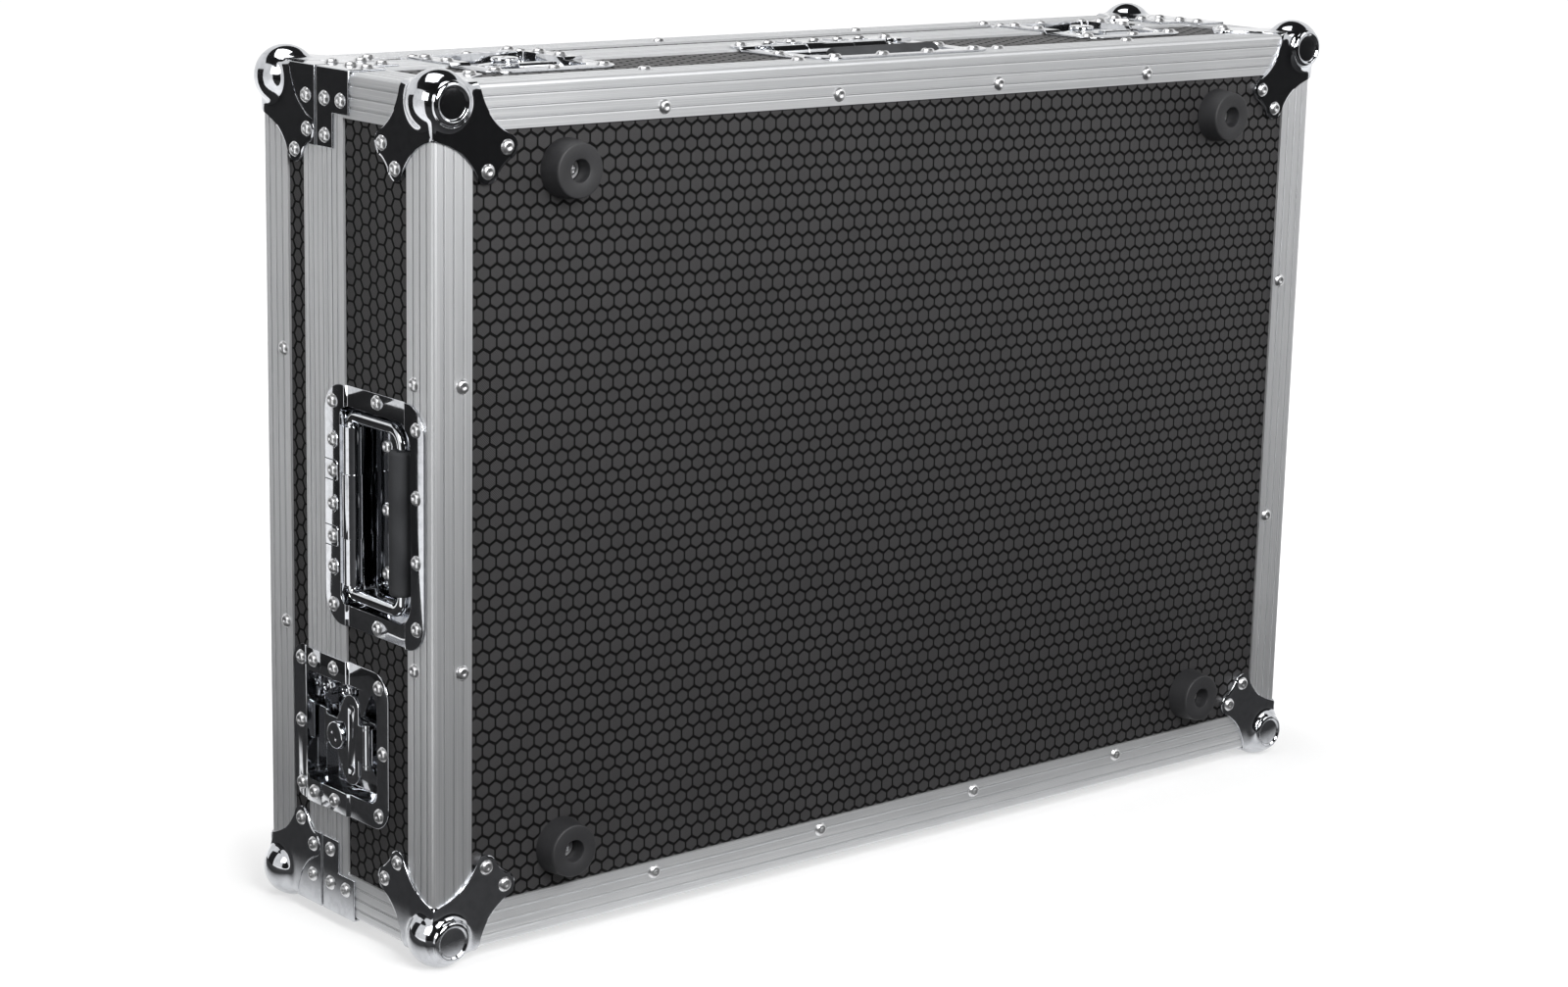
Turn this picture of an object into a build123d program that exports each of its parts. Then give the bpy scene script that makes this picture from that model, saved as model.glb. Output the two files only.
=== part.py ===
"""A touring flight case for a DJ controller, standing on its rear long side.

Millimetres, +Z up. X runs along the case, -Y is the base's outer face with the rubber feet,
+Y is the lid's outer face, and +Z is the front side, which carries one handle and two latches.
The lid isn't hinged: four latches hold it, and it lifts off along +Y.
"""

from build123d import *
import os

# Overall box, over the aluminium edges
case_length = 825.0
case_width = 575.0
case_depth = 200.0
lid_depth = 67.0
seam_gap = 0.4

# Aluminium edges
angle_leg = 30.0
angle_wall = 1.8
edge_radius = 3.0
groove_width = 1.0
groove_depth = 0.5
angle_groove_pitch = 7.5
groove_margin = 2.0
base_rim_width = 30.0
lid_rim_width = 17.0
rim_groove_pitch = 5.6
base_web = 6.0
lid_web = 3.6
base_inner_flange = 15.0
lid_inner_flange = 13.6
tongue_width = 2.8
tongue_length = 4.1
tongue_clearance = 0.3

# Panels and foam
panel_thickness = 7.0
foam_floor = 20.0
foam_side = 36.0
foam_front = 26.0
foam_below_rim = 0.5
lid_foam = 15.0
fit_gap = 0.4

# Ball corners
ball_radius = 21.0
ball_inset = 11.0
plate_wall = 1.5
plate_reach = 35.0
plate_waist = (42.0, 18.0)
lobe_far = 56.0
lobe_near = 41.0
lobe_radius = 8.5
dimple_radius = 9.5
dimple_depth = 2.5
dimple_rim = 2.0

# Rim brackets
bracket_leg = 51.0
bracket_arm = 28.0
bracket_seam_margin = 1.0
base_bracket_width = 38.0
base_bracket_narrow = 19.0
lid_bracket_width = 30.0
lid_bracket_narrow = 16.5
base_bracket_rivets = [(19.0, -10.5), (19.0, -29.5), (43.0, -10.5)]
lid_bracket_rivets = [(19.0, 11.8)]

# Rubber feet
foot_height = 15.0
foot_base_radius = 20.0
foot_top_radius = 18.0
foot_bore_radius = 7.5
foot_floor = 4.0
foot_from_end = 104.0
foot_from_side = 58.0
washer_radius = 6.8
washer_thickness = 1.2
screw_head_radius = 4.6
screw_head_height = 2.6
screw_shank_radius = 2.2

# Rivets
rivet_radius = 4.6
rivet_height = 2.0
rivet_sides = 6
edge_rivet_inset = 22.5
face_rivet_spots = [-228.5, -76.0, 76.0, 228.5]
end_rivet_spots = [-95.0, 95.0]

# Sheet-metal dishes
dish_wall = 1.5
step_run = 2.0
step_clear = 1.0
dish_draft = 5.0

# Sprung handles, sizes across the wall are measured from the seam
handle_flange_length = 164.0
handle_flange_low = 124.0
handle_flange_high = 8.0
handle_flange_radius = 20.0
handle_recess_length = 136.0
handle_recess_low = 109.0
handle_recess_high = 26.0
handle_recess_low_radius = 18.0
handle_recess_high_radius = 8.0
handle_recess_depth = 16.0
bail_rod_radius = 4.0
bail_half_span = 61.0
bail_pivot = 31.5
bail_grip_line = 92.0
bail_depth = 5.0
bail_bend = 12.0
bail_root_bend = 6.0
bail_pin_length = 18.0
grip_radius = 7.0
grip_length = 97.0
grip_gap = 0.02
grip_chamfer = 1.0
rod_sides = 12
running_gap = 0.06
barrel_radius = 6.4
barrel_end_gap = 1.0
bulge_radius = 7.0
bulge_length = 44.0
spring_radius = 3.9
spring_wall = 1.2
spring_length = 72.0
handle_rivet_column = 17.0
handle_rivet_rows = [0.0, 22.5, 43.5, 69.5]
handle_rivet_far_column = 115.5
handle_rivet_far_rows = [21.4, 66.0]
handle_rivet_band = 67.3
handle_rivet_band_row = 76.0
handle_floor_rivet = 56.0
handle_floor_rivet_rows = [-43.0, 0.0, 43.0]

# Turn latches, sizes across the wall are measured from the seam
latch_flange_length = 109.0
latch_flange_low = 79.4
latch_flange_high = 35.7
latch_flange_low_radius = 18.0
latch_flange_high_radius = 12.0
latch_recess_length = 77.0
latch_recess_low = 65.5
latch_recess_high = 17.0
latch_recess_low_radius = 9.0
latch_recess_high_radius = 5.0
latch_recess_depth = 13.0
latch_past_middle = 2.25
latch_from_end = 137.5
spindle_from_seam = 31.0
spindle_radius = 5.0
turn_plate_depth = 3.3
turn_plate_wall = 1.8
turn_plate_reach = 10.0
turn_plate_corner = 3.0
wing_depth = 1.0
wing_wall = 2.0
wing_length = 63.0
wing_width = 37.0
wing_pin_from_spindle = 22.0
wing_pin_depth = 1.7
wing_pin_radius = 1.5
wing_tab_overlap = 4.0
knuckle_radius = 3.2
knuckle_length = 25.4
lug_thickness = 2.6
lug_gap = 0.2
button_radius = 9.5
button_from_spindle = 14.0
button_height = 3.0
hook_clear = 0.3
hook_arm_wall = 1.8
hook_arm_width = 18.0
hook_tail = 50.0
hook_corner = 2.0
hook_head_length = 10.0
guide_width = 2.0
guide_length = 10.0
hook_claw = 2.7
hook_claw_wall = 2.4
hook_claw_width = 26.0
hook_draw = 5.0
hook_dip = 2.6
keeper_from_seam = 3.0
keeper_wall = 2.5
keeper_width = 30.0
lid_eye = (27.0, 9.0)
base_eye = (28.5, -14.0)
eye_radius = 7.0
eye_bore = 3.2
eye_height = 3.0
eye_floor = 1.0
latch_rivets = [(44.5, -68.0), (46.7, -16.0), (47.0, 9.0), (44.8, 27.0)]
latch_end_rivets = [-72.8, 27.5]

# Worked-out places
ball_proud = ball_radius - ball_inset
base_depth = case_depth - lid_depth
half_length = case_length / 2
half_width = case_width / 2
base_face_y = foot_height - (case_depth + foot_height + ball_proud) / 2
seam_y = base_face_y + base_depth
rear_z = ball_proud
mid_z = rear_z + half_width
panel_inside = angle_wall + panel_thickness
hook_arm_depth = turn_plate_depth + turn_plate_wall + hook_clear
latch_flange = (
    latch_flange_length,
    -latch_flange_low,
    latch_flange_high,
    latch_flange_low_radius,
    latch_flange_high_radius,
)
latch_recess = (
    latch_recess_length,
    -latch_recess_low,
    latch_recess_high,
    latch_recess_low_radius,
    latch_recess_high_radius,
)
mid_plane = Plane.XY.offset(mid_z)

walls = {
    "left": Plane(origin=(-half_length, seam_y, mid_z), x_dir=(0, 0, 1), z_dir=(-1, 0, 0)),
    "right": Plane(origin=(half_length, seam_y, mid_z), x_dir=(0, 0, -1), z_dir=(1, 0, 0)),
    "front": Plane(origin=(0, seam_y, rear_z + case_width), x_dir=(1, 0, 0), z_dir=(0, 0, 1)),
    "rear": Plane(origin=(0, seam_y, rear_z), x_dir=(-1, 0, 0), z_dir=(0, 0, -1)),
}
latch_along_end = (handle_flange_length / 2 + half_width - bracket_leg) / 2 + latch_past_middle
half_span = {"left": half_width, "right": half_width, "front": half_length, "rear": half_length}


def spot(wall, along):
    """A wall's plane moved along the wall: x along the wall, y towards the lid, z outwards."""
    at = walls[wall]
    return Plane(origin=at.from_local_coords((along, 0, 0)), x_dir=at.x_dir, z_dir=at.z_dir)


handle_spots = {
    "left": spot("left", 0),
    "right": spot("right", 0),
    "front": spot("front", 0),
}
latch_spots = {
    "left": spot("left", -latch_along_end),
    "right": spot("right", latch_along_end),
    "front_left": spot("front", latch_from_end - half_length),
    "front_right": spot("front", half_length - latch_from_end),
}
latch_wall = {"left": "left", "right": "right", "front_left": "front", "front_right": "front"}


def section_plane(at):
    """The plane across a wall's hardware: x towards the lid, y outwards."""
    return Plane(origin=at.origin, x_dir=at.y_dir, z_dir=at.x_dir)


def save(piece, label):
    piece.label = label
    export_step(piece, f"parts/{label}.step")


def save_group(pieces, label):
    """Separate solids that share one node."""
    save(Compound(children=[solid for piece in pieces for solid in piece.solids()]), label)


def four_corners(piece):
    """The same piece mirrored to the four corners round the case."""
    pair = [piece, piece.mirror(Plane.YZ)]
    return pair + [one.mirror(mid_plane) for one in pair]


# Cuts that the sunken hardware makes in panels, edges and foam


def recess_cut(at, length, low, high, depth, gap):
    with BuildPart() as cut:
        with BuildSketch(at.offset(dish_wall)):
            with Locations((0, (high - low) / 2)):
                Rectangle(length + 2 * (dish_wall + gap), high + low + 2 * (dish_wall + gap))
        extrude(amount=-(depth + 2 * dish_wall + gap))
    return cut.part


def wall_cuts(wall, gap=fit_gap):
    """Every recess on one wall, over the seam where a latch crosses it."""
    cuts = []
    if wall in handle_spots:
        cuts.append(
            recess_cut(
                handle_spots[wall],
                handle_recess_length,
                handle_recess_low,
                -handle_recess_high,
                handle_recess_depth,
                gap,
            )
        )
    for name, at in latch_spots.items():
        if latch_wall[name] == wall:
            cuts.append(
                recess_cut(
                    at,
                    latch_recess_length,
                    latch_recess_low,
                    latch_recess_high,
                    latch_recess_depth,
                    gap,
                )
            )
    return cuts


# Aluminium edges


def groove_row(start, stop, pitch):
    places = [start + pitch * (step + 1) for step in range(int((stop - start) / pitch))]
    return [place for place in places if place < stop - groove_margin]


def mitred(wall, depth):
    """Cuts what a block holds to one wall's length, mitred at both ends."""
    at = walls[wall]
    half = half_span[wall]
    with BuildSketch(Plane(origin=at.origin, x_dir=at.x_dir, z_dir=-at.y_dir)) as block:
        Polygon((-half, 0), (half, 0), (half - depth, -depth), (depth - half, -depth), align=None)
    extrude(block.sketch, amount=case_depth * 2, both=True, mode=Mode.INTERSECT)


def edge_angle(wall, face, towards):
    """The angle round an outer face. face is where it lies from the seam, towards is +1 or -1."""
    inward = -towards
    grooves = groove_row(0, angle_leg, angle_groove_pitch)
    with BuildPart() as bar:
        with BuildSketch(section_plane(walls[wall])) as profile:
            with BuildLine():
                Polyline(
                    (face, 0),
                    (face + inward * angle_leg, 0),
                    (face + inward * angle_leg, -angle_wall),
                    (face + inward * angle_wall, -angle_wall),
                    (face + inward * angle_wall, -angle_leg),
                    (face, -angle_leg),
                    close=True,
                )
            make_face()
            fillet(profile.vertices().sort_by_distance((face, 0, 0))[0], edge_radius)
            with Locations([(face + inward * place, 0) for place in grooves]):
                Rectangle(groove_width, 2 * groove_depth, mode=Mode.SUBTRACT)
            with Locations([(face, -place) for place in grooves]):
                Rectangle(2 * groove_depth, groove_width, mode=Mode.SUBTRACT)
        extrude(amount=half_span[wall], both=True)
        mitred(wall, angle_leg + fit_gap)
        for cut in wall_cuts(wall):
            add(cut, mode=Mode.SUBTRACT)
    return bar.part


def corner_angle(start, stop):
    """The short angle along Y at the left front corner, from start to stop past the seam."""
    grooves = groove_row(0, angle_leg, angle_groove_pitch)
    corner_at = (-half_length, seam_y + start, rear_z + case_width)
    corner = Plane(origin=corner_at, x_dir=(1, 0, 0), z_dir=(0, 1, 0))
    with BuildPart() as bar:
        with BuildSketch(corner) as profile:
            with BuildLine():
                Polyline(
                    (0, 0),
                    (angle_leg, 0),
                    (angle_leg, angle_wall),
                    (angle_wall, angle_wall),
                    (angle_wall, angle_leg),
                    (0, angle_leg),
                    close=True,
                )
            make_face()
            fillet(profile.vertices().sort_by_distance((0, 0, 0))[0], edge_radius)
            with Locations([(place, 0) for place in grooves]):
                Rectangle(groove_width, 2 * groove_depth, mode=Mode.SUBTRACT)
            with Locations([(0, place) for place in grooves]):
                Rectangle(2 * groove_depth, groove_width, mode=Mode.SUBTRACT)
        extrude(amount=stop - start)
    return bar.part


def rim_bar(wall, base_side):
    """The rim section: a channel that grips the panel, with a groove in the base or a tongue on the lid."""
    side = -1 if base_side else 1
    edge = 0 if base_side else seam_gap
    width = base_rim_width if base_side else lid_rim_width - seam_gap
    web = base_web if base_side else lid_web
    inner = base_inner_flange if base_side else lid_inner_flange
    middle = -(panel_inside + angle_wall) / 2
    grooves = groove_row(0, width, rim_groove_pitch)
    with BuildPart() as bar:
        with BuildSketch(section_plane(walls[wall])):
            with BuildLine():
                Polyline(
                    (edge, 0),
                    (edge + side * width, 0),
                    (edge + side * width, -angle_wall),
                    (edge + side * web, -angle_wall),
                    (edge + side * web, -panel_inside),
                    (edge + side * inner, -panel_inside),
                    (edge + side * inner, -panel_inside - angle_wall),
                    (edge, -panel_inside - angle_wall),
                    close=True,
                )
            make_face()
            with Locations([(edge + side * place, 0) for place in grooves]):
                Rectangle(groove_width, 2 * groove_depth, mode=Mode.SUBTRACT)
            if base_side:
                with Locations((0, middle)):
                    Rectangle(
                        2 * tongue_length,
                        tongue_width + 2 * tongue_clearance,
                        mode=Mode.SUBTRACT,
                    )
            else:
                reach = tongue_length - tongue_clearance
                with Locations((seam_gap - reach / 2, middle)):
                    Rectangle(reach, tongue_width)
        extrude(amount=half_span[wall], both=True)
        mitred(wall, panel_inside + angle_wall + fit_gap)
        for cut in wall_cuts(wall):
            add(cut, mode=Mode.SUBTRACT)
    return bar.part


def make_edges():
    base_face = -base_depth
    base_angles = [edge_angle(wall, base_face, -1) for wall in walls]
    base_angles += four_corners(corner_angle(base_face + angle_leg, -base_rim_width))
    save_group(base_angles, "base_angles")
    lid_angles = [edge_angle(wall, lid_depth, 1) for wall in walls]
    lid_angles += four_corners(corner_angle(lid_rim_width, lid_depth - angle_leg))
    save_group(lid_angles, "lid_angles")
    save_group([rim_bar(wall, True) for wall in walls], "base_rim_channels")
    save_group([rim_bar(wall, False) for wall in walls], "lid_rim_tongues")


# Panels


def face_panel(outer, towards):
    """The laminated ply sheet that closes the base or the lid."""
    middle = (0, seam_y + outer - towards * angle_wall, mid_z)
    plane = Plane(origin=middle, x_dir=(1, 0, 0), z_dir=(0, towards, 0))
    with BuildPart() as panel:
        with BuildSketch(plane):
            Rectangle(case_length - 2 * angle_wall, case_width - 2 * angle_wall)
        extrude(amount=-panel_thickness)
    return panel.part


def wall_panel(wall, low, high):
    """A side sheet from low to high past the seam, cut for what is sunk into it."""
    long_wall = wall in ("front", "rear")
    half = half_length - angle_wall if long_wall else half_width - panel_inside
    with BuildPart() as panel:
        with BuildSketch(walls[wall].offset(-angle_wall)):
            with Locations((0, (low + high) / 2)):
                Rectangle(2 * half, high - low)
        extrude(amount=-panel_thickness)
        for cut in wall_cuts(wall):
            add(cut, mode=Mode.SUBTRACT)
    return panel.part


def make_panels():
    save(face_panel(-base_depth, -1), "base_bottom_panel")
    save(face_panel(lid_depth, 1), "lid_top_panel")
    for wall in walls:
        base_wall = wall_panel(wall, panel_inside - base_depth, -base_web)
        save(base_wall, f"base_{wall}_panel")
        lid_wall = wall_panel(wall, seam_gap + lid_web, lid_depth - panel_inside)
        save(lid_wall, f"lid_{wall}_panel")


# Foam


def foam_block(x_size, z_size, y_low, y_high, x_mid=0.0, z_mid=0.0):
    plane = Plane(origin=(x_mid, seam_y + y_low, mid_z + z_mid), x_dir=(1, 0, 0), z_dir=(0, 1, 0))
    with BuildPart() as block:
        with BuildSketch(plane):
            Rectangle(x_size, z_size)
        extrude(amount=y_high - y_low)
    return block.part


def make_foam():
    inside_x = case_length - 2 * panel_inside
    inside_z = case_width - 2 * panel_inside
    floor_low = panel_inside - base_depth
    wall_top = -base_inner_flange - foam_below_rim
    cavity_x = inside_x - 2 * foam_side
    cavity_z = inside_z - 2 * foam_front
    save(foam_block(cavity_x, cavity_z, floor_low, floor_low + foam_floor), "base_floor_foam")
    strips = []
    for wall, direction in (("front", 1), ("rear", -1)):
        z_mid = direction * (cavity_z + foam_front) / 2
        strip = foam_block(inside_x, foam_front, floor_low, wall_top, 0.0, z_mid)
        strips.append((wall, strip))
    for wall, direction in (("right", 1), ("left", -1)):
        x_mid = direction * (cavity_x + foam_side) / 2
        strip = foam_block(foam_side, cavity_z, floor_low, wall_top, x_mid, 0.0)
        strips.append((wall, strip))
    cut_strips = []
    for wall, strip in strips:
        with BuildPart() as lined:
            add(strip)
            for cut in wall_cuts(wall):
                add(cut, mode=Mode.SUBTRACT)
        cut_strips.append(lined.part)
    save_group(cut_strips, "base_side_foam")
    lid_inside = lid_depth - panel_inside
    save(foam_block(inside_x, inside_z, lid_inside - lid_foam, lid_inside), "lid_foam_pad")


# Ball corners and rim brackets


def lobed_outline(grow=0.0):
    """The outline of one leg plate, drawn from the corner along two edges, plus a small growth."""
    lobe = lobe_radius + grow
    far_low = (lobe_far + lobe * 0.6, lobe_near - lobe * 0.8)
    far_tip = (lobe_far + lobe * 0.98, lobe_near + lobe * 0.1)
    far_high = (lobe_far + lobe * 0.45, lobe_near + lobe * 0.89)
    waist = (plate_waist[0] + grow * 0.7, plate_waist[1] - grow * 0.7)
    dip = (lobe_far + lobe_near + 2 * lobe_radius) / 2 - lobe_radius * 0.45 + grow * 0.7
    with BuildLine() as outline:
        Line((-plate_wall, -plate_wall), (plate_reach + grow, -plate_wall))
        Line((plate_reach + grow, -plate_wall), (plate_reach + grow, 0))
        ThreePointArc((plate_reach + grow, 0), waist, far_low)
        ThreePointArc(far_low, far_tip, far_high)
        ThreePointArc(far_high, (dip, dip), far_high[::-1])
        ThreePointArc(far_high[::-1], far_tip[::-1], far_low[::-1])
        ThreePointArc(far_low[::-1], waist[::-1], (0, plate_reach + grow))
        Line((0, plate_reach + grow), (-plate_wall, plate_reach + grow))
        Line((-plate_wall, plate_reach + grow), (-plate_wall, -plate_wall))
    return outline.line


def corner_planes(face_y, towards):
    """Planes on the three faces that meet at the left rear corner, each drawn from that corner."""
    corner = (-half_length, face_y, rear_z)
    inward = (0, -towards, 0)
    face = Plane(origin=corner, x_dir=(1, 0, 0), z_dir=(0, towards, 0))
    end = Plane(origin=corner, x_dir=inward, z_dir=(-1, 0, 0))
    rear = Plane(origin=corner, x_dir=(1, 0, 0), z_dir=(0, 0, -1))
    return face, end, rear


def leg_plate(plane, diagonal, outline, panel_end):
    """One leg of a ball corner: a plate on the edges, with its lobes packed out to the panel."""
    flip = 1 if plane.to_local_coords(Vector(diagonal)).Y > 0 else -1
    panel_start = angle_leg + fit_gap
    along_x = panel_end if abs(plane.x_dir.Y) > 0.5 else panel_start + case_width
    along_y = panel_end if abs(plane.y_dir.Y) > 0.5 else panel_start + case_width
    with BuildSketch(plane) as leg:
        with BuildLine():
            add(outline if flip > 0 else outline.mirror(Plane.XZ))
        make_face()
    extrude(leg.sketch, amount=plate_wall)
    with BuildSketch(plane) as packing:
        with BuildLine():
            add(outline if flip > 0 else outline.mirror(Plane.XZ))
        make_face()
        with Locations(((panel_start + along_x) / 2, flip * (panel_start + along_y) / 2)):
            Rectangle(along_x - panel_start, along_y - panel_start, mode=Mode.INTERSECT)
    extrude(packing.sketch, amount=-angle_wall)


def ball_corner(face_y, towards, panel_end, dimpled):
    """A steel ball corner at the left rear corner: three lobed legs and a ball, hollowed by the case."""
    outline = lobed_outline()
    inside = (-half_length + plate_reach, face_y - towards * plate_reach, rear_z + plate_reach)
    ball_at = (-half_length + ball_inset, face_y - towards * ball_inset, rear_z + ball_inset)
    block = case_depth
    with BuildPart() as corner:
        with Locations(ball_at):
            Sphere(ball_radius)
        with Locations((-half_length + block / 2, face_y - towards * block / 2, rear_z + block / 2)):
            Box(block, block, block, mode=Mode.SUBTRACT)
        for plane in corner_planes(face_y, towards):
            leg_plate(plane, inside, outline, panel_end)
        if dimpled:
            pole_at = (ball_at[0], ball_at[1] + towards * ball_radius, ball_at[2])
            pole = Plane(origin=pole_at, z_dir=(0, towards, 0))
            with BuildSketch(pole):
                Circle(dimple_radius)
            extrude(amount=-dimple_depth - dimple_rim, mode=Mode.SUBTRACT)
            with BuildSketch(pole.offset(-dimple_depth - dimple_rim)):
                Circle(dimple_radius - dimple_rim)
            extrude(amount=dimple_rim)
    return corner.part


def rim_bracket(base_side):
    """The steel bracket at the left front corner that wraps the rim, beside the seam."""
    side = -1 if base_side else 1
    near = side * bracket_seam_margin if base_side else seam_gap + bracket_seam_margin
    width = base_bracket_width if base_side else lid_bracket_width
    narrow = base_bracket_narrow if base_side else lid_bracket_narrow
    corner = (-half_length, seam_y, rear_z + case_width)
    end = Plane(origin=corner, x_dir=(0, 0, -1), z_dir=(-1, 0, 0))
    front = Plane(origin=corner, x_dir=(1, 0, 0), z_dir=(0, 0, 1))
    lid_corner = (-half_length, seam_y + lid_depth, rear_z + case_width)
    with BuildPart() as bracket:
        for plane in (end, front):
            flip = 1 if plane.y_dir.Y > 0 else -1
            with BuildSketch(plane):
                with BuildLine():
                    Polyline(
                        (-plate_wall, flip * near),
                        (bracket_leg, flip * near),
                        (bracket_leg, flip * (near + side * narrow)),
                        (bracket_arm, flip * (near + side * narrow)),
                        (bracket_arm, flip * (near + side * width)),
                        (-plate_wall, flip * (near + side * width)),
                        close=True,
                    )
                make_face()
            extrude(amount=plate_wall)
            if not base_side:
                leg = Plane(origin=lid_corner, x_dir=plane.x_dir, z_dir=plane.z_dir)
                outline = lobed_outline(fit_gap)
                with BuildSketch(leg):
                    with BuildLine():
                        add(outline if flip < 0 else outline.mirror(Plane.XZ))
                    make_face()
                extrude(amount=plate_wall, mode=Mode.SUBTRACT)
    return bracket.part


def make_corners():
    base_ball = ball_corner(base_face_y, -1, base_depth - base_rim_width - fit_gap, True)
    save_group(four_corners(base_ball), "base_ball_corners")
    lid_ball = ball_corner(seam_y + lid_depth, 1, lid_depth - lid_rim_width - fit_gap, False)
    save_group(four_corners(lid_ball), "lid_ball_corners")
    save_group(four_corners(rim_bracket(True)), "base_rim_brackets")
    save_group(four_corners(rim_bracket(False)), "lid_rim_brackets")


# Feet


def foot_places():
    across = half_length - foot_from_end
    up = half_width - foot_from_side
    return GridLocations(2 * across, 2 * up, 2, 2)


def foot_plane(out):
    """A plane over the base's face panel, out mm from it, facing away from the case."""
    surface = base_face_y + angle_wall
    return Plane(origin=(0, surface - out, mid_z), x_dir=(1, 0, 0), z_dir=(0, -1, 0))


def make_feet():
    height = foot_height + angle_wall
    with BuildPart(foot_plane(0)) as rubber_feet:
        with foot_places():
            Cone(foot_base_radius, foot_top_radius, height, align=(Align.CENTER, Align.CENTER, Align.MIN))
        with BuildSketch(foot_plane(foot_floor)):
            with foot_places():
                Circle(foot_bore_radius)
        extrude(amount=height, mode=Mode.SUBTRACT)
        with BuildSketch(foot_plane(0)):
            with foot_places():
                Circle(screw_shank_radius + running_gap)
        extrude(amount=height, mode=Mode.SUBTRACT)
    save_group([rubber_feet.part], "rubber_feet")
    with BuildPart() as washers:
        with BuildSketch(foot_plane(foot_floor)):
            with foot_places():
                Circle(washer_radius)
                Circle(screw_shank_radius + running_gap, mode=Mode.SUBTRACT)
        extrude(amount=washer_thickness)
    save_group([washers.part], "foot_washers")
    with BuildPart() as screws:
        with BuildSketch(foot_plane(0)):
            with foot_places():
                Circle(screw_shank_radius)
        extrude(amount=foot_floor + washer_thickness + screw_head_height / 2)
        with BuildSketch(foot_plane(foot_floor + washer_thickness)):
            with foot_places():
                Circle(screw_head_radius)
        extrude(amount=screw_head_height)
    save_group([screws.part], "foot_screws")


# Sunken dishes


def step_line(low, high, raised):
    """The underside of a sheet from low to high: on the surface where raised, else down on the panel."""
    points = []
    for start, stop in raised:
        if start > low:
            points += [(start - step_clear - step_run, -angle_wall), (start - step_clear, 0)]
        else:
            points += [(low, 0)]
        if stop < high:
            points += [(stop + step_clear, 0), (stop + step_clear + step_run, -angle_wall)]
        else:
            points += [(high, 0)]
    if points[0][0] > low:
        points = [(low, points[0][1])] + points
    if points[-1][0] < high:
        points = points + [(high, points[-1][1])]
    return points


def lifted(points, amount):
    return [(place, height + amount) for place, height in points]


def plan(at, size, grow=0.0):
    """A flange or recess outline on a wall: its length, its two edges and the corner radius at each."""
    length, low, high, low_radius, high_radius = size
    with BuildSketch(at) as outline:
        with Locations((0, (low + high) / 2)):
            Rectangle(length + 2 * grow, high - low + 2 * grow)
        fillet(outline.vertices().group_by(Axis.Y)[0], low_radius + grow)
        fillet(outline.vertices().group_by(Axis.Y)[-1], high_radius + grow)
    return outline.sketch


def pressed_dish(at, line, flange, recess, depth):
    """A dish pressed from sheet: a stepped flange that follows the edges, and a drafted tub."""
    low, high = line[0][0], line[-1][0]
    bottom = -depth - dish_wall
    tub_low = max(low, recess[1] - dish_wall)
    tub_high = min(high, recess[2] + dish_wall)
    with BuildPart() as tub:
        with BuildSketch(section_plane(at)):
            with BuildLine():
                Polyline((low, bottom), *lifted(line, dish_wall), (high, bottom), close=True)
            make_face()
            with Locations(((tub_low + tub_high) / 2, 0)):
                Rectangle(tub_high - tub_low, case_depth, mode=Mode.INTERSECT)
        extrude(amount=recess[0] / 2 + dish_wall, both=True)
        extrude(plan(at, recess, dish_wall), amount=case_depth, both=True, mode=Mode.INTERSECT)
    with BuildPart() as dish:
        with BuildSketch(section_plane(at)):
            with BuildLine():
                Polyline(*line, *reversed(lifted(line, dish_wall)), close=True)
            make_face()
        extrude(amount=flange[0] / 2, both=True)
        extrude(plan(at, flange), amount=case_depth, both=True, mode=Mode.INTERSECT)
        add(tub.part)
        pocket = plan(at.offset(dish_wall), recess)
        extrude(pocket, amount=-depth - dish_wall, taper=dish_draft, mode=Mode.SUBTRACT)
    return dish.part


# Sprung handles


def handle_dish(at):
    low, high = -handle_flange_low, -handle_flange_high
    line = step_line(low, high, [(-base_depth, angle_leg - base_depth), (-base_rim_width, 0.0)])
    blank = pressed_dish(
        at,
        line,
        (handle_flange_length, low, high, handle_flange_radius, handle_flange_radius),
        (
            handle_recess_length,
            -handle_recess_low,
            -handle_recess_high,
            handle_recess_low_radius,
            handle_recess_high_radius,
        ),
        handle_recess_depth,
    )
    across = section_plane(at)
    barrel_half = bail_half_span - bail_root_bend - barrel_end_gap
    with BuildPart() as dish:
        add(blank)
        with BuildSketch(across):
            with Locations((-bail_pivot, -bail_depth)):
                Circle(barrel_radius)
        extrude(amount=barrel_half, both=True)
        with BuildSketch(across):
            with Locations((-bail_pivot, -bail_depth)):
                Circle(bulge_radius)
        extrude(amount=bulge_length / 2, both=True)
        with BuildSketch(across):
            with Locations((-bail_pivot, -bail_depth)):
                Circle(bail_rod_radius + running_gap)
        extrude(amount=bail_half_span, both=True, mode=Mode.SUBTRACT)
    return dish.part


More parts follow.
